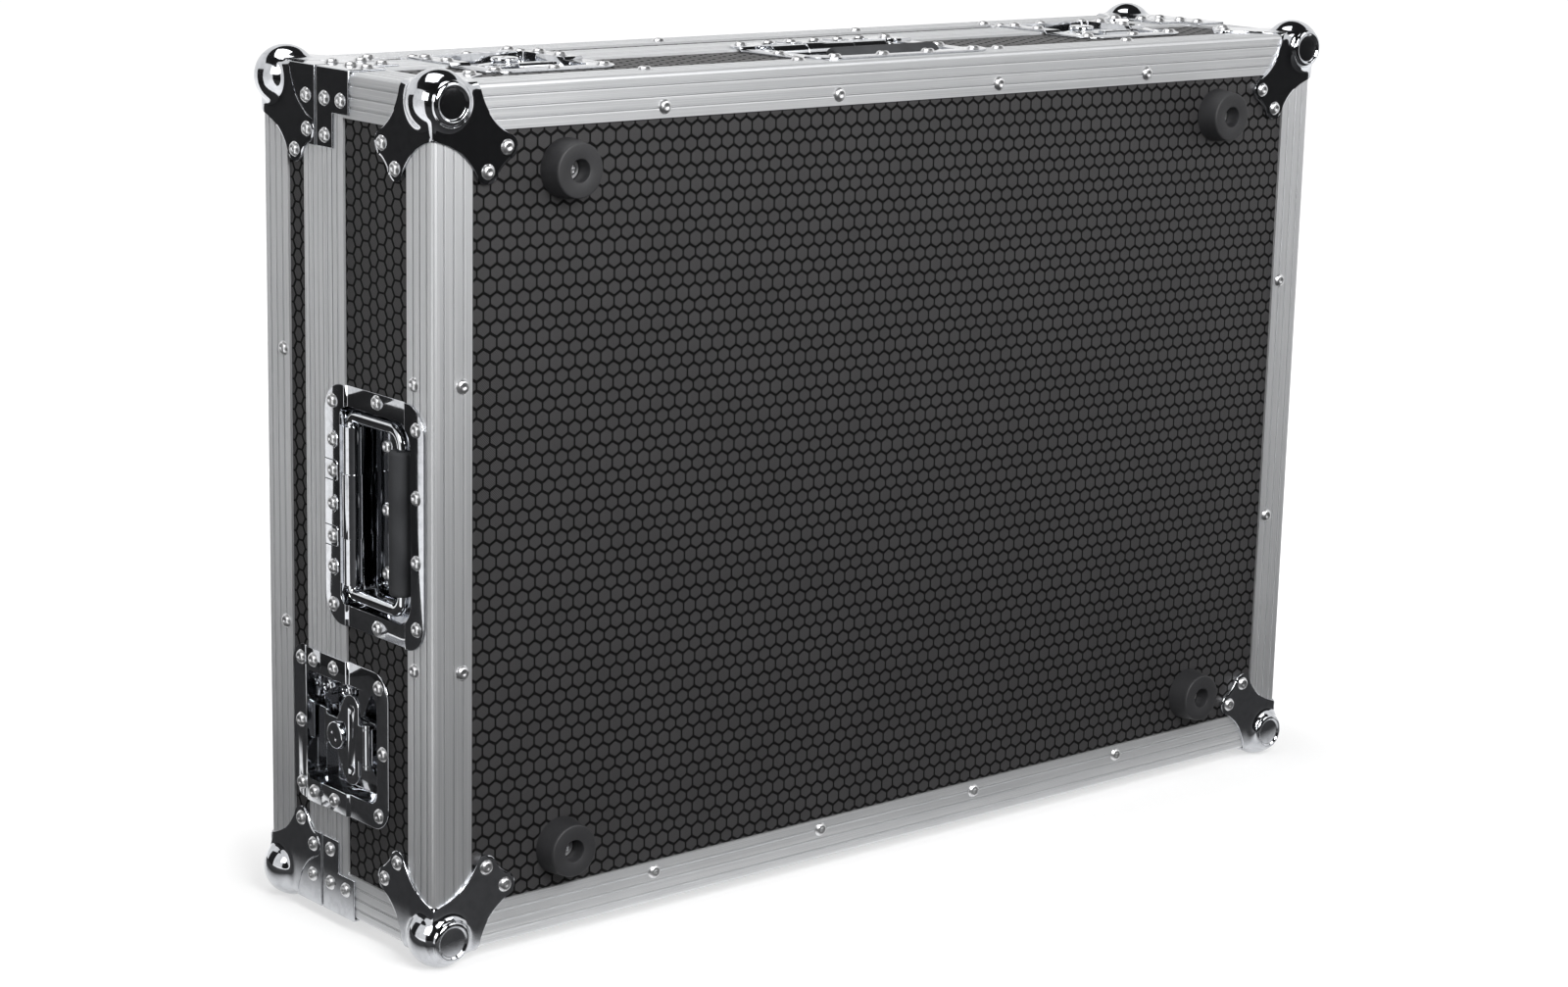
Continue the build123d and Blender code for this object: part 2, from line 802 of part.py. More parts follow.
def bail(at):
    """The bent rod: two arms whose feet turn inwards as hinge pins."""
    plane = at.offset(-bail_depth)
    root = bail_half_span - bail_root_bend
    knee = bail_half_span - bail_bend
    with BuildPart() as rod:
        with BuildLine(plane) as path:
            for side in (1, -1):
                Line((side * (root - bail_pin_length), -bail_pivot), (side * root, -bail_pivot))
                CenterArc(
                    (side * root, -bail_pivot - bail_root_bend),
                    bail_root_bend,
                    90,
                    -90 * side,
                )
                Line(
                    (side * bail_half_span, -bail_pivot - bail_root_bend),
                    (side * bail_half_span, -bail_grip_line + bail_bend),
                )
                CenterArc(
                    (side * knee, -bail_grip_line + bail_bend),
                    bail_bend,
                    0 if side > 0 else 180,
                    -90 * side,
                )
            Line((knee, -bail_grip_line), (-knee, -bail_grip_line))
        start = plane.from_local_coords((root - bail_pin_length, -bail_pivot, 0))
        with BuildSketch(Plane(origin=start, z_dir=at.x_dir)) as section:
            RegularPolygon(bail_rod_radius, rod_sides)
        sweep(sections=section.sketch, path=path.wires()[0])
    return rod.part


def bail_grip(at):
    across = section_plane(at)
    with BuildPart() as grip:
        with BuildSketch(across):
            with Locations((-bail_grip_line, -bail_depth)):
                Circle(grip_radius)
        extrude(amount=grip_length / 2, both=True)
        chamfer(grip.edges().filter_by(GeomType.CIRCLE), grip_chamfer)
        with BuildSketch(across):
            with Locations((-bail_grip_line, -bail_depth)):
                Circle(bail_rod_radius + grip_gap)
        extrude(amount=grip_length, both=True, mode=Mode.SUBTRACT)
    return grip.part


def bail_spring(at):
    """The torsion spring hidden in the barrel, as a plain sleeve."""
    with BuildPart() as spring:
        with BuildSketch(section_plane(at)):
            with Locations((-bail_pivot, -bail_depth)):
                Circle(spring_radius)
                Circle(spring_radius - spring_wall, mode=Mode.SUBTRACT)
        extrude(amount=spring_length / 2, both=True)
    return spring.part


def make_handles():
    for name, at in handle_spots.items():
        save(handle_dish(at), f"{name}_handle_dish")
        save(bail(at), f"{name}_handle_bail")
        save(bail_grip(at), f"{name}_handle_grip")
        save(bail_spring(at), f"{name}_handle_spring")


# Turn latches


def eye_boss(at, place):
    """The ring a padlock goes through, on the dish floor."""
    with BuildPart() as eye:
        with BuildSketch(at.offset(-latch_recess_depth)):
            with Locations(place):
                Circle(eye_radius)
        extrude(amount=eye_height)
        with BuildSketch(at.offset(-latch_recess_depth + eye_floor)):
            with Locations(place):
                Circle(eye_bore)
        extrude(amount=eye_height, mode=Mode.SUBTRACT)
    return eye.part


def latch_base_dish(at):
    low = -latch_flange_low
    line = step_line(low, 0.0, [(-base_rim_width, 0.0)])
    blank = pressed_dish(
        at,
        line,
        latch_flange,
        latch_recess,
        latch_recess_depth,
    )
    with BuildPart() as dish:
        add(blank)
        with BuildSketch(at.offset(-latch_recess_depth - dish_wall)):
            with Locations((0, -spindle_from_seam)):
                Circle(spindle_radius + running_gap)
        extrude(amount=dish_wall, mode=Mode.SUBTRACT)
        add(eye_boss(at, base_eye))
        guide_across = (hook_arm_width + guide_width) / 2 + hook_clear
        with BuildSketch(at.offset(-latch_recess_depth)):
            for side in (1, -1):
                with Locations((side * guide_across, hook_corner + guide_length / 2 - hook_tail)):
                    Rectangle(guide_width, guide_length)
        extrude(amount=latch_recess_depth - hook_arm_depth)
    return dish.part


def latch_lid_dish(at):
    """The lid's half of the dish, with the lip the hook draws on."""
    line = step_line(seam_gap, latch_flange_high, [(seam_gap, lid_rim_width)])
    blank = pressed_dish(
        at,
        line,
        latch_flange,
        latch_recess,
        latch_recess_depth,
    )
    lip_height = latch_recess_depth - hook_arm_depth - hook_arm_wall - hook_claw - hook_clear
    with BuildPart() as dish:
        add(blank)
        add(eye_boss(at, lid_eye))
        with BuildSketch(at.offset(-latch_recess_depth)):
            with Locations((0, keeper_from_seam + keeper_wall / 2)):
                Rectangle(keeper_width, keeper_wall)
        extrude(amount=lip_height)
    return dish.part


def latch_hook(at):
    """The draw hook, released: an arm slotted round the spindle, with a claw past the lid's lip."""
    claw_start = keeper_from_seam + keeper_wall + hook_clear + hook_draw
    claw_end = claw_start + hook_claw_wall
    with BuildPart() as hook:
        with BuildSketch(at.offset(-hook_arm_depth)):
            with Locations((0, (claw_end - hook_tail) / 2)):
                RectangleRounded(hook_arm_width, claw_end + hook_tail, hook_corner)
            with Locations((0, claw_end - hook_head_length / 2)):
                RectangleRounded(hook_claw_width, hook_head_length, hook_corner)
            with Locations((0, -spindle_from_seam + hook_draw / 2)):
                SlotOverall(
                    2 * (spindle_radius + hook_clear) + hook_draw,
                    2 * (spindle_radius + hook_clear),
                    rotation=90,
                    mode=Mode.SUBTRACT,
                )
        extrude(amount=-hook_arm_wall)
        with BuildSketch(at.offset(-hook_arm_depth - hook_arm_wall)):
            with Locations((0, (claw_start + claw_end) / 2)):
                Rectangle(hook_claw_width - 2 * hook_corner, hook_claw_wall)
        extrude(amount=-hook_claw)
    return hook.part


def latch_turntable(at):
    """The turning plate on its spindle, with two lugs for the wing's hinge pin."""
    lug_middle = knuckle_length / 2 + lug_gap + lug_thickness / 2
    lug_edge = lug_middle + lug_thickness / 2
    pin_line = -spindle_from_seam - wing_pin_from_spindle
    across = section_plane(at)
    with BuildPart() as table:
        with BuildSketch(at.offset(-turn_plate_depth)):
            with Locations((0, -spindle_from_seam)):
                RectangleRounded(2 * lug_edge, 2 * turn_plate_reach, turn_plate_corner)
            for side in (1, -1):
                with Locations((side * lug_middle, (pin_line - spindle_from_seam) / 2)):
                    Rectangle(lug_thickness, wing_pin_from_spindle)
        extrude(amount=-turn_plate_wall)
        with BuildSketch(at.offset(-turn_plate_depth)):
            with Locations((0, -spindle_from_seam)):
                Circle(spindle_radius)
        extrude(amount=-(latch_recess_depth + dish_wall - turn_plate_depth))
        for side in (1, -1):
            with BuildSketch(across.offset(side * lug_middle)):
                with Locations((pin_line, -wing_pin_depth)):
                    Circle(knuckle_radius)
                with Locations((pin_line, -wing_pin_depth - knuckle_radius / 2)):
                    Rectangle(2 * knuckle_radius, knuckle_radius)
                with Locations((pin_line, -wing_pin_depth)):
                    Circle(wing_pin_radius, mode=Mode.SUBTRACT)
            extrude(amount=lug_thickness / 2, both=True)
        with BuildSketch(across):
            with Locations((pin_line, -wing_pin_depth)):
                Circle(wing_pin_radius)
        extrude(amount=lug_edge, both=True)
    return table.part


def latch_wing(at):
    """The pointed-oval finger plate, hinged on the turning plate, with a riveted button to lift it by."""
    half_long = wing_length / 2
    half_wide = wing_width / 2
    pin_line = -spindle_from_seam - wing_pin_from_spindle
    across = section_plane(at)
    with BuildPart() as wing:
        with BuildSketch(at.offset(-wing_depth)):
            with BuildLine():
                near = -spindle_from_seam
                ThreePointArc((-half_long, near), (0, near + half_wide), (half_long, near))
                ThreePointArc((half_long, near), (0, near - half_wide), (-half_long, near))
            make_face()
            tab = wing_pin_from_spindle - half_wide + wing_tab_overlap
            with Locations((0, pin_line + tab / 2)):
                Rectangle(knuckle_length, tab)
        extrude(amount=-wing_wall)
        with BuildSketch(across):
            with Locations((pin_line, -wing_pin_depth)):
                Circle(knuckle_radius)
        extrude(amount=knuckle_length / 2, both=True)
        with BuildSketch(across):
            with Locations((pin_line, -wing_pin_depth)):
                Circle(wing_pin_radius + running_gap)
        extrude(amount=knuckle_length, both=True, mode=Mode.SUBTRACT)
        button = (0, button_from_spindle - spindle_from_seam)
        with BuildSketch(at.offset(-wing_depth)):
            with Locations(button):
                Circle(button_radius)
        extrude(amount=button_height)
    return wing.part


def make_latches():
    for name, at in latch_spots.items():
        save(latch_base_dish(at), f"{name}_latch_dish")
        save(latch_lid_dish(at), f"{name}_latch_keeper")
        save(latch_hook(at), f"{name}_latch_hook")
        save(latch_turntable(at), f"{name}_latch_turntable")
        save(latch_wing(at), f"{name}_latch_wing")


# Rivets


def rivet_heads(plane, spots):
    """Low pointed heads on a plane, one at each spot."""
    with BuildPart() as heads:
        for along, across in spots:
            with BuildSketch(plane) as foot:
                with Locations((along, across)):
                    RegularPolygon(rivet_radius, rivet_sides)
            tip = plane.from_local_coords((along, across, rivet_height))
            loft([foot.sketch.face(), Vertex(tip)])
    return heads.part


def both_ways(spots):
    return sorted({(sign * along, across) for along, across in spots for sign in (1, -1)})


def corner_rivets(face_y, towards):
    lobes = [(lobe_far, lobe_near), (lobe_near, lobe_far)]
    heads = []
    for plane in corner_planes(face_y, towards):
        inside = (-half_length + plate_reach, face_y - towards * plate_reach, rear_z + plate_reach)
        flip = 1 if plane.to_local_coords(Vector(inside)).Y > 0 else -1
        spots = [(far, flip * near) for far, near in lobes]
        heads.append(rivet_heads(plane.offset(plate_wall), spots))
    return heads


def bracket_rivets(spots):
    """The brackets' rivets on the left and front walls at their shared corner."""
    end = Plane(origin=(-half_length, seam_y, rear_z + case_width), x_dir=(0, 0, -1), z_dir=(-1, 0, 0))
    front = Plane(origin=end.origin, x_dir=(1, 0, 0), z_dir=(0, 0, 1))
    heads = []
    for plane in (end, front):
        flip = 1 if plane.y_dir.Y > 0 else -1
        heads.append(rivet_heads(plane.offset(plate_wall), [(along, flip * place) for along, place in spots]))
    return heads


def edge_rivets(face, towards):
    """The rivets through an outer angle: on the big face and on the four walls."""
    face_y = seam_y + face
    plane = Plane(origin=(0, face_y, mid_z), x_dir=(1, 0, 0), z_dir=(0, towards, 0))
    up = half_width - edge_rivet_inset
    out = half_length - edge_rivet_inset
    spots = [(along, side * up) for along in face_rivet_spots for side in (1, -1)]
    spots += [(side * out, along) for along in end_rivet_spots for side in (1, -1)]
    heads = [rivet_heads(plane, spots)]
    row = face - towards * edge_rivet_inset
    for wall in walls:
        places = end_rivet_spots
        if wall == "rear":
            places = face_rivet_spots
        if wall == "front":
            places = [face_rivet_spots[0], *end_rivet_spots, face_rivet_spots[-1]]
        heads.append(rivet_heads(walls[wall], [(along, row) for along in places]))
    return heads


def make_rivets():
    base_heads = edge_rivets(-base_depth, -1)
    lid_heads = edge_rivets(lid_depth, 1)
    for heads, face_y, towards in ((base_heads, base_face_y, -1), (lid_heads, seam_y + lid_depth, 1)):
        for head in corner_rivets(face_y, towards):
            heads += four_corners(head)
    for head in bracket_rivets(base_bracket_rivets):
        base_heads += four_corners(head)
    for head in bracket_rivets(lid_bracket_rivets):
        lid_heads += four_corners(head)
    for at in handle_spots.values():
        rows = [(row, -handle_rivet_column) for row in handle_rivet_rows]
        rows += [(row, -handle_rivet_far_column) for row in handle_rivet_far_rows]
        base_heads.append(rivet_heads(at.offset(dish_wall), both_ways(rows)))
        band = both_ways([(handle_rivet_band_row, -handle_rivet_band)])
        base_heads.append(rivet_heads(at.offset(dish_wall - angle_wall), band))
        floor = [(row, -handle_floor_rivet) for row in handle_floor_rivet_rows]
        base_heads.append(rivet_heads(at.offset(-handle_recess_depth), floor))
    for at in latch_spots.values():
        low, base_rim, lid_rim, high = latch_rivets
        base_heads.append(rivet_heads(at.offset(dish_wall), both_ways([base_rim])))
        lid_heads.append(rivet_heads(at.offset(dish_wall), both_ways([lid_rim])))
        low_spots = both_ways([low]) + [(0, latch_end_rivets[0])]
        base_heads.append(rivet_heads(at.offset(dish_wall - angle_wall), low_spots))
        high_spots = both_ways([high]) + [(0, latch_end_rivets[1])]
        lid_heads.append(rivet_heads(at.offset(dish_wall - angle_wall), high_spots))
    save_group(base_heads, "base_rivets")
    save_group(lid_heads, "lid_rivets")


os.makedirs("parts", exist_ok=True)
make_edges()
make_panels()
make_foam()
make_corners()
make_feet()
make_handles()
make_latches()
make_rivets()
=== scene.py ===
import bpy
import bmesh
import math
from mathutils import Matrix, Vector
from mathutils.geometry import convex_hull_2d


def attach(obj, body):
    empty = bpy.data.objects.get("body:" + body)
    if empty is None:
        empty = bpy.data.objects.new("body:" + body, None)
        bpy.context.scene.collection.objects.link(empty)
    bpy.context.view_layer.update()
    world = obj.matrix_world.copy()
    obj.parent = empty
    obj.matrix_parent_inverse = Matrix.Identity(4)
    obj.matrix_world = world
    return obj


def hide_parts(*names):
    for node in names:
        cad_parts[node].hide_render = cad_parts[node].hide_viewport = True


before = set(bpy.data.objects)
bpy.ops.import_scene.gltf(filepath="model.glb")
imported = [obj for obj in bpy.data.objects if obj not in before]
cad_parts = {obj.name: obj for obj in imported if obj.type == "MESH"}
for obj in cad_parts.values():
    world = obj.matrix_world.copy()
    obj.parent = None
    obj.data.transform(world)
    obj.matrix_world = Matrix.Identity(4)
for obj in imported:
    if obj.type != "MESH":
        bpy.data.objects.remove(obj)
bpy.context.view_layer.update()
MM = 0.001

# The case's own sizes, in metres, as the part has them
LENGTH = 0.825
WIDTH = 0.575
REAR_Z = 0.010
BASE_FACE_Y = -0.0975
SEAM_Y = 0.0355
LID_FACE_Y = 0.1025
MID_Z = REAR_Z + WIDTH / 2
PANEL_SINK = 1.8 * MM
FOOT_ACROSS = 0.3085
FOOT_UP = 0.2295

# Bar sizes, in millimetres, and where the upright corner bars run along Y, in metres
ANGLE_LEG = 30.0
LID_RIM = 17.0
POSTS = (
    (BASE_FACE_Y + ANGLE_LEG * MM, SEAM_Y - ANGLE_LEG * MM),
    (SEAM_Y + LID_RIM * MM, LID_FACE_Y - ANGLE_LEG * MM),
)

# Ball corner sizes, in millimetres. The slopes are tangents from the ball's own axis
PLATE = 1.5
BALL_RADIUS = 21.0
BALL_INSET = 11.0
BALL_FILLET = 3.6
LEG_KNEE = 26.0
DIMPLE_RING = 8.5
DISH_FLOOR = 16.7
DISH_SLOPE = 0.61
LIP_SLOPE = 0.66
LIP_RISE = 0.25
RING_SLOPE = 0.98
RING_RISE = 0.6

# Handle and latch sizes, in millimetres from the seam and from the wall's face
ROD_RADIUS = 4.4
ROD_DEPTH = 5.0
PIVOT_DOWN = 31.5
GRIP_RADIUS = 9.0
GRIP_LENGTH = 97.0
GRIP_DOWN = 92.0
WING_TOP = -1.0
WING_BACK = -3.0
WING_HINGE = -53.0

# Rivet heads, by the names of their geometry nodes' inputs
HEAD_SIZES = {"Head Radius": 5.2 * MM, "Head Height": 2.6 * MM, "Dimple": 0.5, "Sides": 14}

# Pattern sizes, in metres
HEX_CELL = 10.5 * MM
WEAVE_PITCH = 1.6 * MM
DIE_LINE_PITCH = 0.5 * MM
GROOVE_START = 8.5 * MM
GROOVE_PITCH = 7.5 * MM
FLAT_EDGE = 5.0 * MM
FOAM_CELL = 1.6 * MM

# How much painted glow the white paper shows the camera, by the case and from some metres off it
PAPER_NEAR = 0.54
PAPER_FAR = 0.97
PAPER_REACH = 0.26

# Each wall's frame: where it stands, along it, and outwards. Y always points to the lid
WALLS = {
    "left": ((-LENGTH / 2, SEAM_Y, MID_Z), (0, 0, 1), (-1, 0, 0)),
    "right": ((LENGTH / 2, SEAM_Y, MID_Z), (0, 0, -1), (1, 0, 0)),
    "front": ((0.0, SEAM_Y, REAR_Z + WIDTH), (1, 0, 0), (0, 0, 1)),
}
LATCHES = {
    "left": ("left", -161.5),
    "right": ("right", 161.5),
    "front_left": ("front", -275.0),
    "front_right": ("front", 275.0),
}


def wall_frame(wall, along=0.0):
    """Millimetres on a wall to metres in the case: x along it, y towards the lid, z outwards."""
    place, ahead, out = WALLS[wall]
    ahead, out = Vector(ahead), Vector(out)
    up = out.cross(ahead)
    turn = Matrix((ahead, up, out)).transposed().to_4x4()
    origin = Vector(place) + ahead * along * MM
    return Matrix.Translation(origin) @ turn @ Matrix.Scale(MM, 4)


def linked(name, data):
    """A new object in the scene."""
    made = bpy.data.objects.new(name, data)
    bpy.context.scene.collection.objects.link(made)
    return made


# Camera


def make_camera():
    """The camera at the place and angle that fit the photograph's straight edges."""
    data = bpy.data.cameras.new("camera")
    data.sensor_width = 36.0
    data.lens = 76.23
    data.clip_start = 0.05
    data.clip_end = 60.0
    camera = linked("camera", data)
    yaw, pitch, roll = -0.70830, -0.22535, -0.02313
    turn = Matrix.Rotation(yaw, 4, "Z") @ Matrix.Rotation(pitch, 4, "X") @ Matrix.Rotation(roll, 4, "Y")
    right, forward, up = turn.col[0].xyz, turn.col[1].xyz, turn.col[2].xyz
    axes = Matrix((right, up, -forward)).transposed().to_4x4()
    camera.matrix_world = Matrix.Translation((-1.5859, -1.8112, 0.8042)) @ axes
    bpy.context.scene.camera = camera


# Materials


def linear(hex_colour):
    """sRGB hex to linear, with an alpha of one."""
    parts = [int(hex_colour[i : i + 2], 16) / 255 for i in (1, 3, 5)]
    return [c / 12.92 if c <= 0.04045 else ((c + 0.055) / 1.055) ** 2.4 for c in parts] + [1.0]


def node(tree, kind, inputs=None, out=0, **settings):
    """Adds one node with its settings, its values and its links, and gives one output, or all for None.

    A kind without "Node" in its name is a shader node, and a value such as "#a3a5a8" is an sRGB
    colour. A mix node takes its share at 0. Its vectors go in at 4 and 5 and come out at 1, and its
    colours go in at 6 and 7 and come out at 2.
    """
    made = tree.nodes.new(kind if "Node" in kind else "ShaderNode" + kind)
    for name, value in settings.items():
        setattr(made, name, value)
    for key, value in (inputs or {}).items():
        if isinstance(value, bpy.types.NodeSocket):
            tree.links.new(value, made.inputs[key])
        elif isinstance(value, str) and value.startswith("#"):
            made.inputs[key].default_value = linear(value)
        else:
            made.inputs[key].default_value = value
    return made.outputs if out is None else made.outputs[out]


def plug(tree, shader, links):
    """Links patterns to a shader's sockets."""
    for socket, value in links.items():
        tree.links.new(value, shader.inputs[socket])


def blank(made):
    """The empty node tree of a new material or world."""
    made.use_nodes = True
    made.node_tree.nodes.clear()
    return made.node_tree


def finish(name, **sockets):
    """A material with one shader, its plain numbers on the shader's own sockets."""
    made = bpy.data.materials.new(name)
    tree = blank(made)
    surface = node(tree, "BsdfPrincipled", sockets)
    node(tree, "OutputMaterial", {"Surface": surface}, out=None)
    place = node(tree, "TexCoord", out="Object")
    return made, tree, surface.node, place


def honeycomb(tree, flat):
    """One on the lines between hexagons whose points are up and down, and nought in their middles.

    Two lattices of points, half a cell apart, are the cells' middles, and the nearer one counts.
    """
    cells = node(tree, "VectorMath", {0: flat, "Scale": 1 / HEX_CELL}, operation="SCALE")
    slope = (0.5, math.sqrt(3) / 2, 0.0)
    reach = Vector((0.5, math.sqrt(3) / 2, 0.5))
    first = node(tree, "VectorMath", {0: cells, 1: reach, 2: -reach}, operation="WRAP")
    moved = node(tree, "VectorMath", {0: cells, 1: reach}, operation="ADD")
    second = node(tree, "VectorMath", {0: moved, 1: reach, 2: -reach}, operation="WRAP")
    first_off = node(tree, "VectorMath", {0: first}, operation="LENGTH", out="Value")
    second_off = node(tree, "VectorMath", {0: second}, operation="LENGTH", out="Value")
    nearer = node(tree, "Math", {0: first_off, 1: second_off}, operation="LESS_THAN")
    local = node(tree, "Mix", {0: nearer, 4: second, 5: first}, data_type="VECTOR", out=1)
    folded = node(tree, "VectorMath", {0: local}, operation="ABSOLUTE")
    side = node(tree, "SeparateXYZ", {0: folded})
    slant = node(tree, "VectorMath", {0: folded, 1: slope}, operation="DOT_PRODUCT", out="Value")
    edge = node(tree, "Math", {0: side, 1: slant}, operation="MAXIMUM")
    return node(tree, "MapRange", {0: edge, 1: 0.41, 2: 0.45}, interpolation_type="SMOOTHSTEP")


def hex_laminate(name, turn):
    """Phenolic film on birch ply, pressed with a honeycomb: low satin cells between sunk dull lines, which
    are painted near black as painted shade.

    turn lays the pattern flat on the panel. A fine weave fills the cells, and its raised pips are painted
    lighter as a painted highlight.
    """
    made, tree, shader, place = finish(name, IOR=1.5)
    flat = node(tree, "Mapping", {"Vector": place, "Rotation": turn})
    flat = node(tree, "VectorMath", {0: flat, 1: (1.0, 1.0, 0.0)}, operation="MULTIPLY")
    line = honeycomb(tree, flat)
    weave = node(tree, "VectorMath", {0: flat, "Scale": 2 * math.pi / WEAVE_PITCH}, operation="SCALE")
    waves = node(tree, "SeparateXYZ", {0: weave}, out=None)
    warp = node(tree, "Math", {0: waves[0]}, operation="SINE")
    weft = node(tree, "Math", {0: waves[1]}, operation="SINE")
    pips = node(tree, "Math", {0: warp, 1: weft}, operation="MULTIPLY")
    pips = node(tree, "MapRange", {0: pips, 1: -0.2, 2: 0.9})
    cloud = node(tree, "TexNoise", {"Vector": place, "Scale": 20.0, "Detail": 4.0}, out="Fac")
    cloud = node(tree, "MapRange", {0: cloud, 1: 0.35, 2: 0.7})
    body = node(tree, "Mix", {0: cloud, 6: "#1c1b1c", 7: "#222122"}, data_type="RGBA", out=2)
    # Painted highlight: the raised weave pips are painted lighter than the cells.
    pips_painted_highlight = node(tree, "Mix", {0: pips, 6: body, 7: "#3d3c3d"}, data_type="RGBA", out=2)
    # Painted shade: the sunk honeycomb lines are painted near black.
    colour = node(tree, "Mix", {0: line, 6: pips_painted_highlight, 7: "#040404"}, data_type="RGBA", out=2)
    grain = node(tree, "TexNoise", {"Vector": place, "Scale": 900.0}, out="Fac")
    shine = node(tree, "Math", {0: line, 1: 0.25, 2: 0.40}, operation="MULTIPLY_ADD")
    shine = node(tree, "Math", {0: grain, 1: 0.12, 2: shine}, operation="MULTIPLY_ADD")
    low = node(tree, "Math", {0: pips, 1: 0.25}, operation="MULTIPLY")
    height = node(tree, "Math", {0: line, 1: -1.0, 2: low}, operation="MULTIPLY_ADD")
    sunk = node(tree, "Bump", {"Height": height, "Distance": 0.35 * MM, "Strength": 0.8})
    glint = node(tree, "MapRange", {0: line, 3: 0.5, 4: 0.12})
    plug(tree, shader, {"Base Color": colour, "Roughness": shine, "Normal": sunk})
    plug(tree, shader, {"Specular IOR Level": glint})
    return made


def leg_grooves(tree, depth, to_end, to_side, from_seam):
    """One in the fine grooves along each leg of a bar, and nought between them."""
    from_base = node(tree, "Math", {0: depth, 1: BASE_FACE_Y}, operation="SUBTRACT")
    from_lid = node(tree, "Math", {0: LID_FACE_Y, 1: depth}, operation="SUBTRACT")
    from_face = node(tree, "Math", {0: from_base, 1: from_lid}, operation="MINIMUM")
    from_face = node(tree, "Math", {0: from_face, 1: from_seam}, operation="MINIMUM")
    lesser = node(tree, "Math", {0: to_end, 1: to_side}, operation="MINIMUM")
    greater = node(tree, "Math", {0: to_end, 1: to_side}, operation="MAXIMUM")
    from_edge = node(tree, "Math", {0: greater, 1: from_face}, operation="MINIMUM")
    from_edge = node(tree, "Math", {0: from_edge, 1: lesser}, operation="MAXIMUM")
    rib = node(tree, "Math", {0: from_edge, 1: GROOVE_PITCH + FLAT_EDGE, 2: FLAT_EDGE}, operation="WRAP")
    rib = node(tree, "Math", {0: rib, 1: GROOVE_START}, operation="SUBTRACT")
    rib = node(tree, "Math", {0: rib}, operation="ABSOLUTE")
    groove = node(tree, "MapRange", {0: rib, 1: 0.8 * MM, 2: 0.1 * MM}, interpolation_type="SMOOTHSTEP")
    on_leg = node(tree, "Math", {0: from_edge, 1: FLAT_EDGE}, operation="GREATER_THAN")
    return node(tree, "Math", {0: groove, 1: on_leg}, operation="MULTIPLY")


def drawn_aluminium(name):
    """Anodised aluminium extrusion: fine die lines run along each bar and stretch its highlights.

    The lines follow X, Z or Y with the bar that they are on. The real ones are some 0.1 mm apart
    and are drawn at 0.5 mm, so that they show. The grooves along each leg are painted darker, as
    painted shade, and one side of each catches the light.
    """
    made, tree, shader, place = finish(name, Metallic=1.0, Anisotropic=0.3)
    middle = (0.0, SEAM_Y, MID_Z)
    away = node(tree, "VectorMath", {0: place, 1: middle}, operation="SUBTRACT")
    away = node(tree, "VectorMath", {0: away}, operation="ABSOLUTE")
    x_off, from_seam, z_off = node(tree, "SeparateXYZ", {0: away}, out=None)
    to_end = node(tree, "Math", {0: LENGTH / 2, 1: x_off}, operation="SUBTRACT")
    to_side = node(tree, "Math", {0: WIDTH / 2, 1: z_off}, operation="SUBTRACT")
    long_bar = node(tree, "Math", {0: to_side, 1: to_end}, operation="LESS_THAN")
    depth = node(tree, "SeparateXYZ", {0: place}, out=1)
    inside = []
    for start, stop in POSTS:
        stretch = {0: depth, 1: (start + stop) / 2, 2: (stop - start) / 2 - 0.1 * MM}
        inside.append(node(tree, "Math", stretch, operation="COMPARE"))
    post = node(tree, "Math", {0: inside[0], 1: inside[1]}, operation="ADD")
    fine, slow = 1 / DIE_LINE_PITCH, 4.0
    ways = {0: long_bar, 4: (fine, fine, slow), 5: (slow, fine, fine)}
    scale = node(tree, "Mix", ways, data_type="VECTOR", out=1)
    scale = node(tree, "Mix", {0: post, 4: scale, 5: (fine, slow, fine)}, data_type="VECTOR", out=1)
    drawn = node(tree, "VectorMath", {0: place, 1: scale}, operation="MULTIPLY")
    ways = {0: long_bar, 4: (1.0, 1.0, 0.0), 5: (0.0, 1.0, 1.0)}
    across = node(tree, "Mix", ways, data_type="VECTOR", out=1)
    across = node(tree, "Mix", {0: post, 4: across, 5: (1.0, 0.0, 1.0)}, data_type="VECTOR", out=1)
    streak = node(
        tree, "TexNoise", {"Vector": drawn, "Scale": 1.0, "Detail": 3.0, "Roughness": 0.65}, out="Fac"
    )
    groove = leg_grooves(tree, depth, to_end, to_side, from_seam)
    cloud = node(tree, "TexNoise", {"Vector": place, "Scale": 14.0, "Detail": 3.0}, out="Fac")
    share = node(tree, "MapRange", {0: streak, 1: 0.3, 2: 0.75})
    colour = node(tree, "Mix", {0: share, 6: "#d0d2d4", 7: "#f2f2f3"}, data_type="RGBA", out=2)
    dull = node(tree, "Math", {0: cloud, 1: 0.25}, operation="MULTIPLY")
    colour = node(tree, "Mix", {0: dull, 6: colour, 7: "#a3a5a8"}, data_type="RGBA", out=2)
    # Painted shade: the grooves along each leg are painted darker.
    groove_painted_shade = node(tree, "Math", {0: groove, 1: 0.35}, operation="MULTIPLY")
    colour = node(tree, "Mix", {0: groove_painted_shade, 6: colour, 7: "#5c5d60"}, data_type="RGBA", out=2)
    matt = node(tree, "Math", {0: streak, 1: 0.14, 2: 0.46}, operation="MULTIPLY_ADD")
    relief = node(tree, "Math", {0: groove, 1: -4.0, 2: streak}, operation="MULTIPLY_ADD")
    scored = node(tree, "Bump", {"Height": relief, "Distance": 0.07 * MM, "Strength": 0.7})
    plug(tree, shader, {"Base Color": colour, "Roughness": matt, "Normal": scored, "Tangent": across})
    return made


